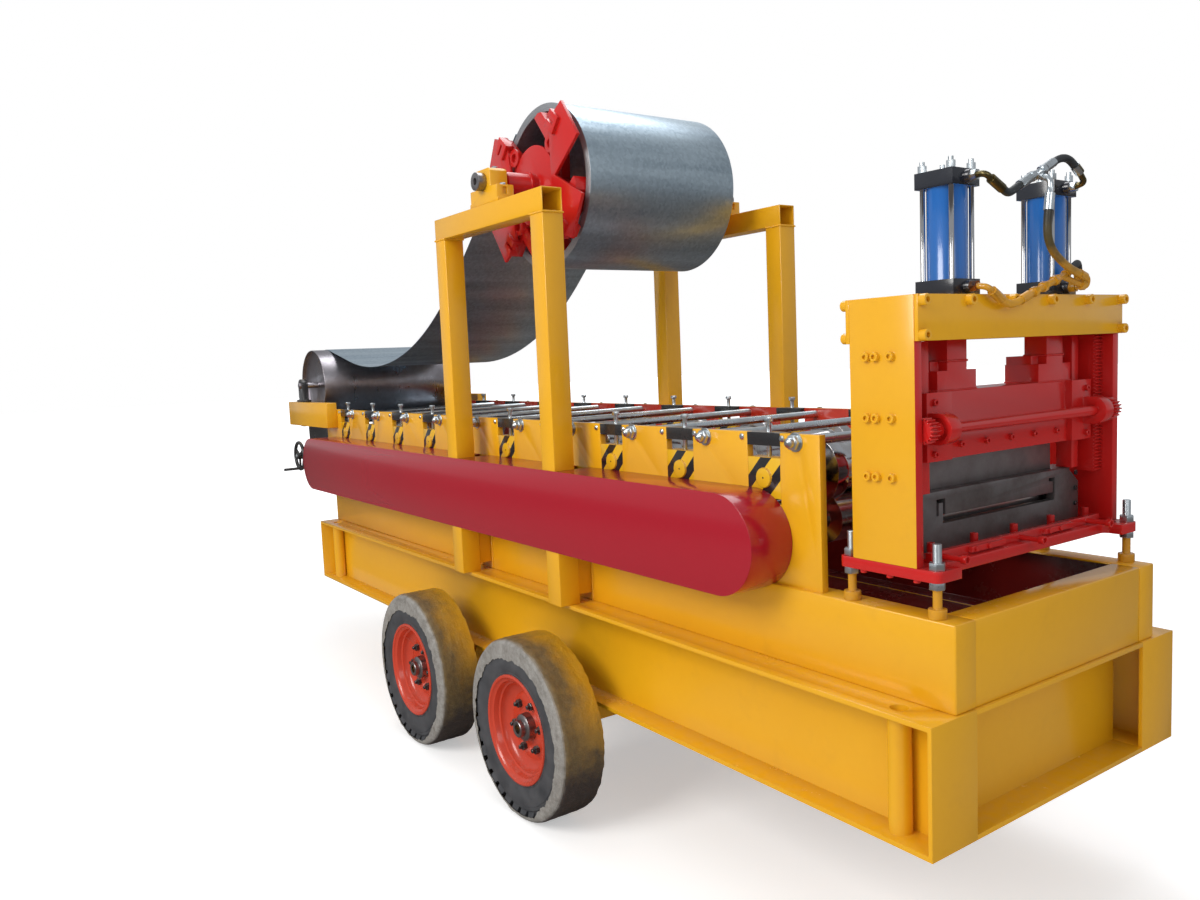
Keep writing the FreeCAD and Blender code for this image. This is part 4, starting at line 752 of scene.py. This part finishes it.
for node, (width, material, slot) in edgeValues.items():
    dress(node, width, material, secondFinish.get(node, ()))
print("dressed solids ready")


def makeTubEnds(v):
    # plates that close the ends of the two long channels
    work = bmesh.new()
    deep, inside = v["plateDepth"], v["plateInside"]
    ends = ((tubHigh[0] - deep, tubHigh[0] + v["platePast"]), (tubLow[0], tubLow[0] + deep))
    for side in bothSides:
        for x0, x1 in ends:
            low = Vector((x0, side * tubHigh[1] - (side * inside), tubLow[2] + inside))
            high = Vector((x1, side * (tubHigh[1] - v["flange"] - hair), tubHigh[2] - inside))
            place = Matrix.Translation((low + high) / 2) @ Matrix.Diagonal((*map(abs, high - low), 1))
            bmesh.ops.create_cube(work, size=1, matrix=place)
    bmesh.ops.recalc_face_normals(work, faces=work.faces)
    mesh = bpy.data.meshes.new("tubEnds")
    work.to_mesh(mesh)
    work.free()
    mesh.materials.append(finish["machineYellow"])
    piece = linkObject("tubEnds", mesh)
    breakEdges(piece, v["plateEdge"])
    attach(piece, "root")


makeTubEnds(tubValues)

# CAD nodes that stay as they are and get a finish
plainFinish = {"tub_floor": "tubMaroon", "axles": "machineYellow", "strip": "galvanised"}
for node, material in plainFinish.items():
    mesh = nodes[node].data
    mesh.materials.clear()
    mesh.materials.append(finish[material])


# ---- repeats made by geometry nodes: fasteners, tread blocks and weld ripples

def newTree(name, inputs):
    return newGroup(name, "Geometry", [("Geometry", "Geometry", None), *inputs], [("Geometry", "Geometry")])


def moved(tree, geometry, height=None, turn=None, scale=None):
    place = None if height is None else addNode(tree, "ShaderNodeCombineXYZ", {"Z": height}).outputs[0]
    inputs = {"Geometry": geometry, "Translation": place, "Rotation": turn, "Scale": scale}
    return addNode(tree, "GeometryNodeTransform", inputs).outputs["Geometry"]


def chanceNode(tree, low, high, seed):
    # the Random Value node has sockets for several kinds of value, so the plain ones are taken by type
    made = addNode(tree, "FunctionNodeRandomValue", {"Seed": seed}, data_type="FLOAT")
    for value, socket in zip((low, high), [s for s in made.inputs if s.type == "VALUE"]):
        feed(tree, value, socket)
    return [o for o in made.outputs if o.type == "VALUE"][0]


def copiesOnPoints(tree, points, instance, seed, wobble):
    # each copy stands along the point's facing, square to its course, and is turned by a chance angle
    facing, course = [
        addNode(tree, "GeometryNodeInputNamedAttribute", {"Name": label}, data_type="FLOAT_VECTOR")
        .outputs["Attribute"] for label in ("facing", "course")]
    align = addNode(tree, "FunctionNodeAlignRotationToVector", {"Vector": facing}, axis="Z")
    square = addNode(tree, "FunctionNodeAlignRotationToVector",
                     {"Rotation": align.outputs[0], "Vector": course}, axis="X", pivot_axis="Z")
    about = addNode(tree, "FunctionNodeAxisAngleToRotation", {"Angle": chanceNode(tree, 0.0, wobble, seed)})
    turned = addNode(tree, "FunctionNodeRotateRotation", {0: square.outputs[0], 1: about.outputs[0]},
                     rotation_space="LOCAL")
    inputs = {"Points": points, "Instance": instance, "Rotation": turned.outputs[0]}
    return addNode(tree, "GeometryNodeInstanceOnPoints", inputs).outputs["Instances"]


def finishTree(tree, instances, take, put):
    real = addNode(tree, "GeometryNodeRealizeInstances", {"Geometry": instances}).outputs[0]
    paint = addNode(tree, "GeometryNodeSetMaterial", {"Geometry": real, "Material": take["Material"]})
    fill(tree, put, {"Geometry": paint.outputs[0]})
    return tree


def fastenerTree():
    # a head with a tapered top edge and a recess, over the face that the point lies on
    tree, take, put = newTree("fasteners", [
        ("Sides", "Int", 6), ("Radius", "Float", 0.01), ("Height", "Float", 0.008),
        ("Edge", "Float", 0.0015), ("Top", "Float", 0.009), ("Recess", "Float", 0.004),
        ("Depth", "Float", 0.004), ("Turn", "Float", 1.0), ("Seed", "Int", 1),
        ("Material", "Material", None),
    ])
    low = mathNode(tree, "SUBTRACT", take["Height"], take["Edge"])
    shank = addNode(tree, "GeometryNodeMeshCylinder",
                    {"Vertices": take["Sides"], "Radius": take["Radius"], "Depth": low})
    crown = addNode(tree, "GeometryNodeMeshCone",
                    {"Vertices": take["Sides"], "Radius Top": take["Top"], "Radius Bottom": take["Radius"],
                     "Depth": take["Edge"]})
    deep = mathNode(tree, "MULTIPLY", take["Depth"], 2.0)
    hollow = addNode(tree, "GeometryNodeMeshCylinder",
                     {"Vertices": 6, "Radius": take["Recess"], "Depth": deep})
    union = addNode(tree, "GeometryNodeMeshBoolean", operation="UNION")
    for part, height in ((shank, mathNode(tree, "MULTIPLY", low, 0.5)), (crown, low)):
        tree.links.new(moved(tree, part.outputs["Mesh"], height), union.inputs["Mesh 2"])
    hole = moved(tree, hollow.outputs["Mesh"], take["Height"])
    cut = addNode(tree, "GeometryNodeMeshBoolean", operation="DIFFERENCE")
    fill(tree, cut, {"Mesh 1": union.outputs["Mesh"], "Mesh 2": hole})
    spread = copiesOnPoints(tree, take["Geometry"], cut.outputs["Mesh"], take["Seed"], take["Turn"])
    return finishTree(tree, spread, take, put)


def blockTree():
    # rubber tread blocks, tapered on all four sides
    tree, take, put = newTree("treadBlocks", [
        ("Size", "Vector", (0.05, 0.05, 0.01)), ("Taper", "Float", 0.62), ("Seed", "Int", 1),
        ("Material", "Material", None),
    ])
    block = addNode(tree, "GeometryNodeMeshCone",
                    {"Vertices": 4, "Radius Bottom": math.sqrt(0.5), "Radius Top": take["Taper"],
                     "Depth": 1.0})
    square = moved(tree, block.outputs["Mesh"], turn=(0, 0, math.radians(45)))
    sized = moved(tree, square, scale=take["Size"])
    return finishTree(tree, copiesOnPoints(tree, take["Geometry"], sized, take["Seed"], 0.0), take, put)


def weldTree():
    # a bead of overlapping ripples along each edge of the guide mesh
    tree, take, put = newTree("weldBeads", [
        ("Radius", "Float", 0.004), ("Pitch", "Float", 0.0045), ("Seed", "Int", 1),
        ("Material", "Material", None),
    ])
    curve = addNode(tree, "GeometryNodeMeshToCurve", {"Mesh": take["Geometry"]}).outputs[0]
    steps = addNode(tree, "GeometryNodeResampleCurve", mode="LENGTH")
    fill(tree, steps, {"Curve": curve, "Length": take["Pitch"]})
    drop = addNode(tree, "GeometryNodeMeshIcoSphere", {"Subdivisions": 2, "Radius": take["Radius"]})
    inputs = {"Points": steps.outputs[0], "Instance": drop.outputs["Mesh"],
              "Scale": chanceNode(tree, 0.78, 1.15, take["Seed"])}
    spread = addNode(tree, "GeometryNodeInstanceOnPoints", inputs)
    return finishTree(tree, spread.outputs["Instances"], take, put)


fasteners = fastenerTree()
treadBlocks = blockTree()
weldBeads = weldTree()


def grown(name, tree, mesh, values, material, body):
    # the guide mesh becomes the repeats, as one plain mesh
    piece = linkObject(name, mesh)
    modifier = piece.modifiers.new("repeats", "NODES")
    modifier.node_group = tree
    sockets = {item.name: item.identifier for item in tree.interface.items_tree
               if item.item_type == "SOCKET" and item.in_out == "INPUT"}
    for label, value in values.items():
        modifier[sockets[label]] = value
    modifier[sockets["Material"]] = finish[material]
    applyModifiers(piece)
    piece.data.materials.clear()
    piece.data.materials.append(finish[material])
    shadeByAngle(piece.data, 35)
    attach(piece, body)


def facingPoints(name, places, courses=()):
    # a point without a course keeps the turn that its facing gives it
    mesh = bpy.data.meshes.new(name)
    mesh.from_pydata([tuple(point) for point, way in places], [], [])
    for label, ways in (("facing", [way for point, way in places]), ("course", courses)):
        if ways:
            stored = mesh.attributes.new(label, "FLOAT_VECTOR", "POINT")
            stored.data.foreach_set("vector", [c for way in ways for c in way])
    return mesh


headLabels = ("Sides", "Radius", "Height", "Edge", "Top", "Recess", "Depth", "Turn")
# sides, radius, height, tapered edge, radius at the top, recess radius and depth, chance turn
headKinds = {
    "socketLarge": (28, 0.0150, 0.0200, 0.0020, 0.0135, 0.0085, 0.0100, 1.0),
    "socketSmall": (24, 0.0095, 0.0100, 0.0012, 0.0085, 0.0052, 0.0060, 1.0),
    "socketSide": (24, 0.0125, 0.0125, 0.0014, 0.0113, 0.0068, 0.0070, 1.0),
    "socketTall": (24, 0.0115, 0.0340, 0.0014, 0.0104, 0.0062, 0.0100, 1.0),
    "button": (20, 0.0100, 0.0062, 0.0036, 0.0058, 0.0032, 0.0030, 1.0),
    "hexHead": (6, 0.0120, 0.0085, 0.0010, 0.0112, 0.0010, 0.0005, 1.0),
    "hexSmall": (6, 0.0080, 0.0060, 0.0010, 0.0072, 0.0008, 0.0004, 1.0),
    "wheelNut": (6, 0.0165, 0.0170, 0.0020, 0.0145, 0.0010, 0.0005, 1.0),
    "wheelStud": (16, 0.0085, 0.0290, 0.0020, 0.0068, 0.0010, 0.0005, 1.0),
    "flange": (36, 0.0290, 0.0035, 0.0010, 0.0280, 0.0008, 0.0004, 0.0),
    "rodTip": (24, 0.0146, 0.0080, 0.0075, 0.0050, 0.0012, 0.0006, 0.0),
}
outward = {near: (0, -1, 0), far: (0, 1, 0)}
upward, downward, ahead, behind = (0, 0, 1), (0, 0, -1), (1, 0, 0), (-1, 0, 0)


def makeHeads(name, kind, seed, places, material, body):
    values = dict(zip(headLabels, headKinds[kind]), Seed=seed)
    grown(name, fasteners, facingPoints(name, places), values, material, body)


def rowOf(xs, ys, zs, way):
    return [((x, y, z), way) for x in xs for y in ys for z in zs]


# where the rows of heads lie: insets are from the exit end, offsets from a middle
boltValues = {
    "headY": (-0.491, -0.295, -0.098, 0.098, 0.295, 0.491),
    "headEdge": 0.015,
    "sideInsets": (0.273, 0.243, 0.194),
    "sideZ": (1.408, 1.565, 1.728),
    "bridgeOffsets": (-0.093, 0.079),
    "bridgeDrop": 0.016,
    "rodOffset": 0.133,
    "rodDrop": 0.024,
    "deckInsets": (0.307, 0.219, 0.133),
    "drumFootOffsets": (-0.062, 0.062),
    "drumFootY": 0.5265,
    "drumFootLift": 0.016,
    "bearingY": 0.614,
    "bearingFootEdge": 0.024,
    "bearingFootZ": 2.461,
    "bearingCapOffsets": (-0.034, 0.034),
    "clampX": 2.409,
    "clampY": (-0.373, -0.177, 0.019, 0.216, 0.412),
    "clampLift": 0.010,
    "clipInset": 0.125,
    "clipY": (-0.242, -0.182, 0.122, 0.182),
    "clipLift": 0.014,
    "dieEndInset": 0.205,
    "dieEndY": 0.406,
    "dieEndZ": (1.231, 1.280, 1.329),
    "ramInset": 0.180,
    "ramBarLift": 0.006,
    "ramBarY": (-0.24, -0.12, 0, 0.12, 0.24),
    "ramBarZ": 1.477,
    "ramBlockLift": 0.023,
    "ramBlockY": (-0.380, 0.380),
    "ramBlockZ": (1.461, 1.600),
    "handwheelNut": (-2.422, -0.578, 1.190),
}


def rootFasteners(v):
    headEnds = v["headY"][::len(v["headY"]) - 1]
    rimZ, lowZ = headHigh[2] - v["headEdge"], headLow[2] + v["headEdge"]
    rolls = [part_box("upper_roll_%02d" % k) for k in range(1, 11)]
    stationX = [(low[0] + high[0]) / 2 for low, high in rolls]
    rodX = [x + v["rodOffset"] for x in stationX]
    rodZ = (plateTop - v["rodDrop"],)
    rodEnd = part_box("tie_rods")[1][1]
    deckLow, deckHigh = (corner[2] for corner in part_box("press_base_plate"))
    drumX = sum(corner[0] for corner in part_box("guide_drum")) / 2
    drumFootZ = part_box("drum_cradles")[1][2] + v["drumFootLift"]
    bearingLow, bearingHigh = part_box("mandrel_bearings")
    footX = (bearingLow[0] + v["bearingFootEdge"], bearingHigh[0] - v["bearingFootEdge"])
    head, sideHeads, bridge, flanges, tips, under, drumFeet, bearings = [], [], [], [], [], [], [], []
    for x, way in ((headHigh[0], ahead), (headLow[0], behind)):
        head += rowOf((x,), v["headY"], (rimZ,), way) + rowOf((x,), headEnds, (lowZ,), way)
    for side in bothSides:
        way = outward[side]
        sideHeads += rowOf([exitX - i for i in v["sideInsets"]], (side * headHigh[1],), v["sideZ"], way)
        bridge += rowOf([x + d for x in stationX for d in v["bridgeOffsets"]], (side * plateOut,),
                        (plateTop - v["bridgeDrop"],), way)
        flanges += rowOf(rodX, (side * plateOut,), rodZ, way)
        tips += rowOf(rodX, (side * rodEnd,), rodZ, way)
        under += rowOf([exitX - i for i in v["deckInsets"]], (side * headEnds[1],), (deckLow,), downward)
        drumFeet += rowOf([drumX + d for d in v["drumFootOffsets"]], (side * v["drumFootY"],), (drumFootZ,),
                          upward)
        bearings += rowOf(footX, (side * v["bearingY"],), (v["bearingFootZ"],), upward)
        bearings += rowOf([coilCentre.x + d for d in v["bearingCapOffsets"]], (side * v["bearingY"],),
                          (bearingHigh[2],), upward)
    tall = rowOf((v["clampX"],), v["clampY"], (deckHigh + v["clampLift"],), upward)
    clips = rowOf((exitX - v["clipInset"],), v["clipY"], (deckHigh + v["clipLift"],), ahead)
    dieEnd = rowOf((exitX - v["dieEndInset"],), (v["dieEndY"],), v["dieEndZ"], ahead)
    return [
        ("pressHeadBolts", "socketLarge", "machineYellow", "machine_yellow", head),
        ("pressSideBolts", "socketSide", "machineYellow", "machine_yellow", sideHeads),
        ("bridgeBolts", "button", "zincPlate", "zinc", bridge),
        ("tieRodFlanges", "flange", "zincPlate", "zinc", flanges),
        ("tieRodTips", "rodTip", "zincPlate", "zinc", tips),
        ("deckBolts", "socketSmall", "pressRed", "press_red", under),
        ("clampBolts", "socketTall", "pressRed", "press_red", tall),
        ("clipBolts", "hexSmall", "pressRed", "press_red", clips),
        ("dieEndBolts", "hexSmall", "blackOxide", "black", dieEnd),
        ("drumBearingBolts", "hexHead", "blackOxide", "black", drumFeet),
        ("mandrelBearingBolts", "hexHead", "zincPlate", "zinc", bearings),
    ]


def makeFasteners(v):
    rows = rootFasteners(v)
    for seed, (name, kind, material, slot, places) in enumerate(rows, 1):
        makeHeads(name, kind, seed, places, material, "root")
    seed = len(rows) + 1
    ramFront = exitX - v["ramInset"]
    ramBolts = rowOf((ramFront + v["ramBarLift"],), v["ramBarY"], (v["ramBarZ"],), ahead)
    ramBolts += rowOf((ramFront + v["ramBlockLift"],), v["ramBlockY"], v["ramBlockZ"], ahead)
    makeHeads("ramBolts", "socketSmall", seed, ramBolts, "pressRed", "ram")
    nut = [(v["handwheelNut"], outward[near])]
    makeHeads("handwheelNut", "hexHead", seed + 1, nut, "zincPlate", "handwheel")


makeFasteners(boltValues)
print("fasteners ready")


# ---- weld beads where posts, shoes and hangers meet what they stand on

weldValues = {
    "postX": (0.0955, 0.9125),
    "postHalf": 0.046,
    "postY": (0.568, 0.660),
    "postTop": 2.304,
    "shoeZ": (0.82, 0.98),
    "cylinderY": 0.244,
    # x from and to, half the width, height
    "ramRings": ((2.296, 2.404, 0.0875, 1.627), (2.3325, 2.4055, 0.0445, 1.707)),
    "yellowRadius": 0.0040,
    "redRadius": 0.0034,
    "pitchShare": 1.05,
    "seed": 7,
}


def ringOf(x0, x1, y0, y1, z):
    corners = [(x0, y0, z), (x1, y0, z), (x1, y1, z), (x0, y1, z)]
    return list(zip(corners, corners[1:] + corners[:1]))


def makeWelds(v):
    yellowEdges, redEdges = [], []
    half = v["postHalf"]
    for side in bothSides:
        shoeY = side * (tubHigh[1] + 0.001)
        for x in v["postX"]:
            yellowEdges += ringOf(x - half, x + half, *(side * y for y in v["postY"]), v["postTop"])
            yellowEdges += [tuple((x + e, shoeY, z) for z in v["shoeZ"]) for e in (-half, half)]
        for x0, x1, wide, z in v["ramRings"]:
            redEdges += ringOf(x0, x1, side * v["cylinderY"] - wide, side * v["cylinderY"] + wide, z)
    for name, edges, radius, material, body, slot in (
            ("frameWelds", yellowEdges, v["yellowRadius"], "machineYellow", "root", "machine_yellow"),
            ("ramWelds", redEdges, v["redRadius"], "pressRed", "ram", "press_red")):
        mesh = bpy.data.meshes.new(name)
        points = [point for edge in edges for point in edge]
        mesh.from_pydata(points, [(k, k + 1) for k in range(0, len(points), 2)], [])
        values = {"Radius": radius, "Pitch": radius * v["pitchShare"], "Seed": v["seed"]}
        grown(name, weldBeads, mesh, values, material, body)


makeWelds(weldValues)
print("welds ready")


# ---- road wheels: tyre with tread blocks, dished rim, hub, nuts and the masking left on the tyre

wheelValues = {
    "tyreRadius": 0.353,
    "tyreWidth": 0.184,
    "rimRadius": 0.205,
    "carcassDrop": 0.019,       # how far the carcass lies under the outer radius
    "shoulderBlocks": 34,
    "treadRows": (-0.026, 0.026),
    "studs": 6,
    "studCircle": 0.096,
    "wheelTurns": {"wheel_front_near": 8, "wheel_front_far": 31, "wheel_rear_near": 0, "wheel_rear_far": 17},
    # how low the masking reaches down the outer side wall, by angle round from +X towards the top
    "tornAt": {0: 0.292, 45: 0.286, 90: 0.272, 135: 0.285, 180: 0.312, 225: 0.331, 270: 0.336, 315: 0.302,
               360: 0.292},
    "tornJitter": 0.010,
    "crumple": 0.0042,
    "maskingSteps": (300, 34),  # round the tyre, and across it and down the side wall
    "maskingCorner": 0.026,
    "film": 0.0012,
    # the blocks of the tread's four rows: size, taper and seed
    "shoulderTread": {"Size": (0.044, 0.036, 0.0215), "Taper": 0.60, "Seed": 3},
    "middleTread": {"Size": (0.050, 0.042, 0.0105), "Taper": 0.60, "Seed": 4},
}


def lathe(name, profile, centre, steps, material):
    # turns (along, radius) stations of a closed outline round a cross axis through centre
    work = bmesh.new()
    rings = []
    for k in range(steps):
        turn = 2 * math.pi * k / steps
        rings.append([work.verts.new(Vector((radius * math.cos(turn), along, radius * math.sin(turn)))
                                     + Vector(centre)) for along, radius in profile])
    for k in range(steps):
        a, b = rings[k], rings[(k + 1) % steps]
        for i in range(len(profile)):
            j = (i + 1) % len(profile)
            work.faces.new((a[i], a[j], b[j], b[i]))
    bmesh.ops.remove_doubles(work, verts=work.verts, dist=1e-6)
    bmesh.ops.recalc_face_normals(work, faces=work.faces)
    mesh = bpy.data.meshes.new(name)
    work.to_mesh(mesh)
    work.free()
    shadeByAngle(mesh, 38)
    mesh.materials.append(finish[material])
    return linkObject(name, mesh)


def makeTyre(name, centre, v):
    half = v["tyreWidth"] / 2
    top = v["tyreRadius"] - v["carcassDrop"]
    rim = v["rimRadius"]
    profile = [(-half + 0.020, rim - 0.004), (-half + 0.009, rim), (-half + 0.007, rim + 0.012),
               (-half + 0.009, rim + 0.015), (-half + 0.003, rim + 0.030), (-half, rim + 0.060),
               (-half + 0.002, rim + 0.084), (-half + 0.004, rim + 0.086), (-half + 0.004, rim + 0.098),
               (-half + 0.012, top - 0.022), (-half + 0.022, top - 0.006), (-half + 0.034, top)]
    profile += [(-a, r) for a, r in reversed(profile)]
    return lathe(name + "_tyre", profile, centre, 96, "tyreRubber")


def makeTread(name, centre, v):
    half = v["tyreWidth"] / 2
    top = v["tyreRadius"] - v["carcassDrop"]
    count = v["shoulderBlocks"]
    shoulder, middle, shoulderWays, middleWays = [], [], [], []

    def ring(step):
        turn = 2 * math.pi * step / count
        return Vector((math.cos(turn), 0, math.sin(turn))), (-math.sin(turn), 0, math.cos(turn))

    for k in range(count):
        for side in bothSides:
            radial, way = ring(k + (0.5 if side == far else 0))
            cross = Vector((0, side, 0))
            shoulder.append((centre + radial * (top - 0.016) + cross * (half - 0.026),
                             (radial * 0.80 + cross * 0.60).normalized()))
            shoulderWays.append(way)
        for row, offset in enumerate(v["treadRows"]):
            radial, way = ring(k + 0.25 + 0.5 * row)
            middle.append((centre + radial * (top - 0.001) + Vector((0, offset, 0)), radial))
            middleWays.append(way)
    rows = (("shoulderTread", shoulder, shoulderWays), ("middleTread", middle, middleWays))
    for label, places, ways in rows:
        piece = name + "_" + label
        grown(piece, treadBlocks, facingPoints(piece, places, ways), v[label], "tyreRubber", name)


def makeRim(name, centre, side, v):
    r = v["rimRadius"]
    out = side * v["tyreWidth"] / 2
    profile = [
        (out * 0.93, r + 0.008), (out * 0.98, r + 0.006), (out * 1.00, r + 0.001), (out * 0.97, r - 0.005),
        (out * 0.88, r - 0.009), (out * 0.83, r - 0.018), (out * 0.62, r - 0.024), (out * 0.58, r - 0.031),
        (out * 0.42, r - 0.034), (out * 0.30, r - 0.042), (out * 0.22, r - 0.062),
        (out * 0.19, 0.134), (out * 0.26, 0.120), (out * 0.26, 0.053),
        (out * 0.15, 0.053), (out * 0.15, 0.120), (out * 0.09, 0.134), (out * 0.13, r - 0.062),
        (out * 0.22, r - 0.050), (-out * 0.80, r - 0.038), (-out * 0.86, r - 0.014), (-out * 0.97, r - 0.008),
        (-out * 0.97, r + 0.004), (-out * 0.90, r + 0.004), (-out * 0.84, r - 0.004), (out * 0.84, r - 0.004),
    ]
    return lathe(name + "_rim", profile, centre, 96, "rimOrange")


def makeHub(name, centre, side):
    profile = [(0.000, 0.031), (0.0495, 0.031), (0.0495, 0.018), (0.078, 0.018), (0.079, 0.020),
               (0.079, 0.030), (0.077, 0.032), (0.060, 0.033), (0.057, 0.048), (0.053, 0.052),
               (0.030, 0.054), (0.000, 0.056)]
    return lathe(name + "_hub", [(side * a, r) for a, r in profile], centre, 64, "hubSteel")


def makeWheelNuts(name, centre, side, v):
    face = side * v["tyreWidth"] / 2 * 0.26
    places = []
    for k in range(v["studs"]):
        turn = math.radians(v["wheelTurns"][name] + 360 * k / v["studs"])
        spot = Vector((math.cos(turn), 0, math.sin(turn))) * v["studCircle"]
        places.append((centre + spot + Vector((0, face, 0)), outward[side]))
    for kind, seed in (("wheelNut", 11), ("wheelStud", 12)):
        makeHeads(name + "_" + kind, kind, seed, places, "blackOxide", name)


def tornRadius(degrees, v):
    stations = sorted(v["tornAt"])
    for a, b in zip(stations, stations[1:]):
        if a <= degrees <= b:
            share = (degrees - a) / (b - a)
            share = share * share * (3 - 2 * share)
            return v["tornAt"][a] + (v["tornAt"][b] - v["tornAt"][a]) * share


def makeMasking(name, centre, side, v):
    # paper and film wrapped over the tread and torn off round the side wall
    half = v["tyreWidth"] / 2
    top = v["tyreRadius"]
    around, across = v["maskingSteps"]
    corner = v["maskingCorner"]
    shift = v["wheelTurns"][name] * 3.7
    work = bmesh.new()
    rings = []
    for k in range(around):
        degrees = 360 * k / around
        turn = math.radians(degrees)
        way = Vector((math.cos(turn), 0, math.sin(turn)))
        spot = way * 3.0 + Vector((0, shift, 0))
        ragged = noise.noise(spot * 2.2) + 0.7 * noise.noise(spot * 7.0)
        torn = min(tornRadius(degrees, v) + v["tornJitter"] * ragged, top - 0.014)
        sag = 0.5 + 0.5 * noise.noise(way * 1.6 + Vector((0, shift + 5, 0)))
        inner = -half + 0.004 + 0.008 * (0.5 + 0.5 * noise.noise(spot * 4.0))
        ring = []
        for i in range(across):
            t = i / (across - 1)
            if t < 0.5:
                along = inner + (half - corner - inner) * (t / 0.5)
                radius = top
            elif t < 0.72:
                bend = (t - 0.5) / 0.22 * math.pi / 2
                along = half - corner + (corner + 0.001) * math.sin(bend)
                radius = top - corner + corner * math.cos(bend)
            else:
                along = half + 0.001
                radius = top - corner + (torn - top + corner) * (t - 0.72) / 0.28
            place = way * radius * 9 + Vector((0, along * 26 + shift, 0))
            crease = abs(noise.noise(place)) * 1.4 + 0.6 * abs(noise.noise(place * 2.7))
            drop = v["crumple"] * (0.55 * crease + 0.6 * sag)
            if t < 0.5:
                radius -= drop
            elif t < 0.72:
                radius -= drop * math.cos(bend)
                along += 0.002 * math.sin(bend)
            else:
                along += 0.0008 + 0.0016 * noise.noise(place * 1.7)
            ring.append(work.verts.new(centre + way * radius + Vector((0, side * along, 0))))
        rings.append(ring)
    for k in range(around):
        a, b = rings[k], rings[(k + 1) % around]
        for i in range(across - 1):
            work.faces.new((a[i], a[i + 1], b[i + 1], b[i]))
    bmesh.ops.recalc_face_normals(work, faces=work.faces)
    mesh = bpy.data.meshes.new(name + "Masking")
    work.to_mesh(mesh)
    work.free()
    mesh.materials.append(finish["maskingFilm"])
    piece = linkObject(name + "_masking", mesh)
    thick = piece.modifiers.new("film", "SOLIDIFY")
    thick.thickness = v["film"]
    thick.offset = -1
    applyModifiers(piece)
    shadeByAngle(piece.data, 50)
    return piece


def makeWheels(v):
    for name in ("wheel_front_near", "wheel_front_far", "wheel_rear_near", "wheel_rear_far"):
        low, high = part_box(name)
        side = near if low[1] < 0 else far
        centre = Vector(((low[0] + high[0]) / 2, (low[1] + high[1]) / 2, v["tyreRadius"]))
        tyre = makeTyre(name, centre, v)
        for piece in (tyre, makeRim(name, centre, side, v), makeHub(name, centre, side),
                      makeMasking(name, centre, side, v)):
            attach(piece, name)
        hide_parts(name)
        makeTread(name, centre, v)
        makeWheelNuts(name, centre, side, v)


makeWheels(wheelValues)
print("wheels ready")
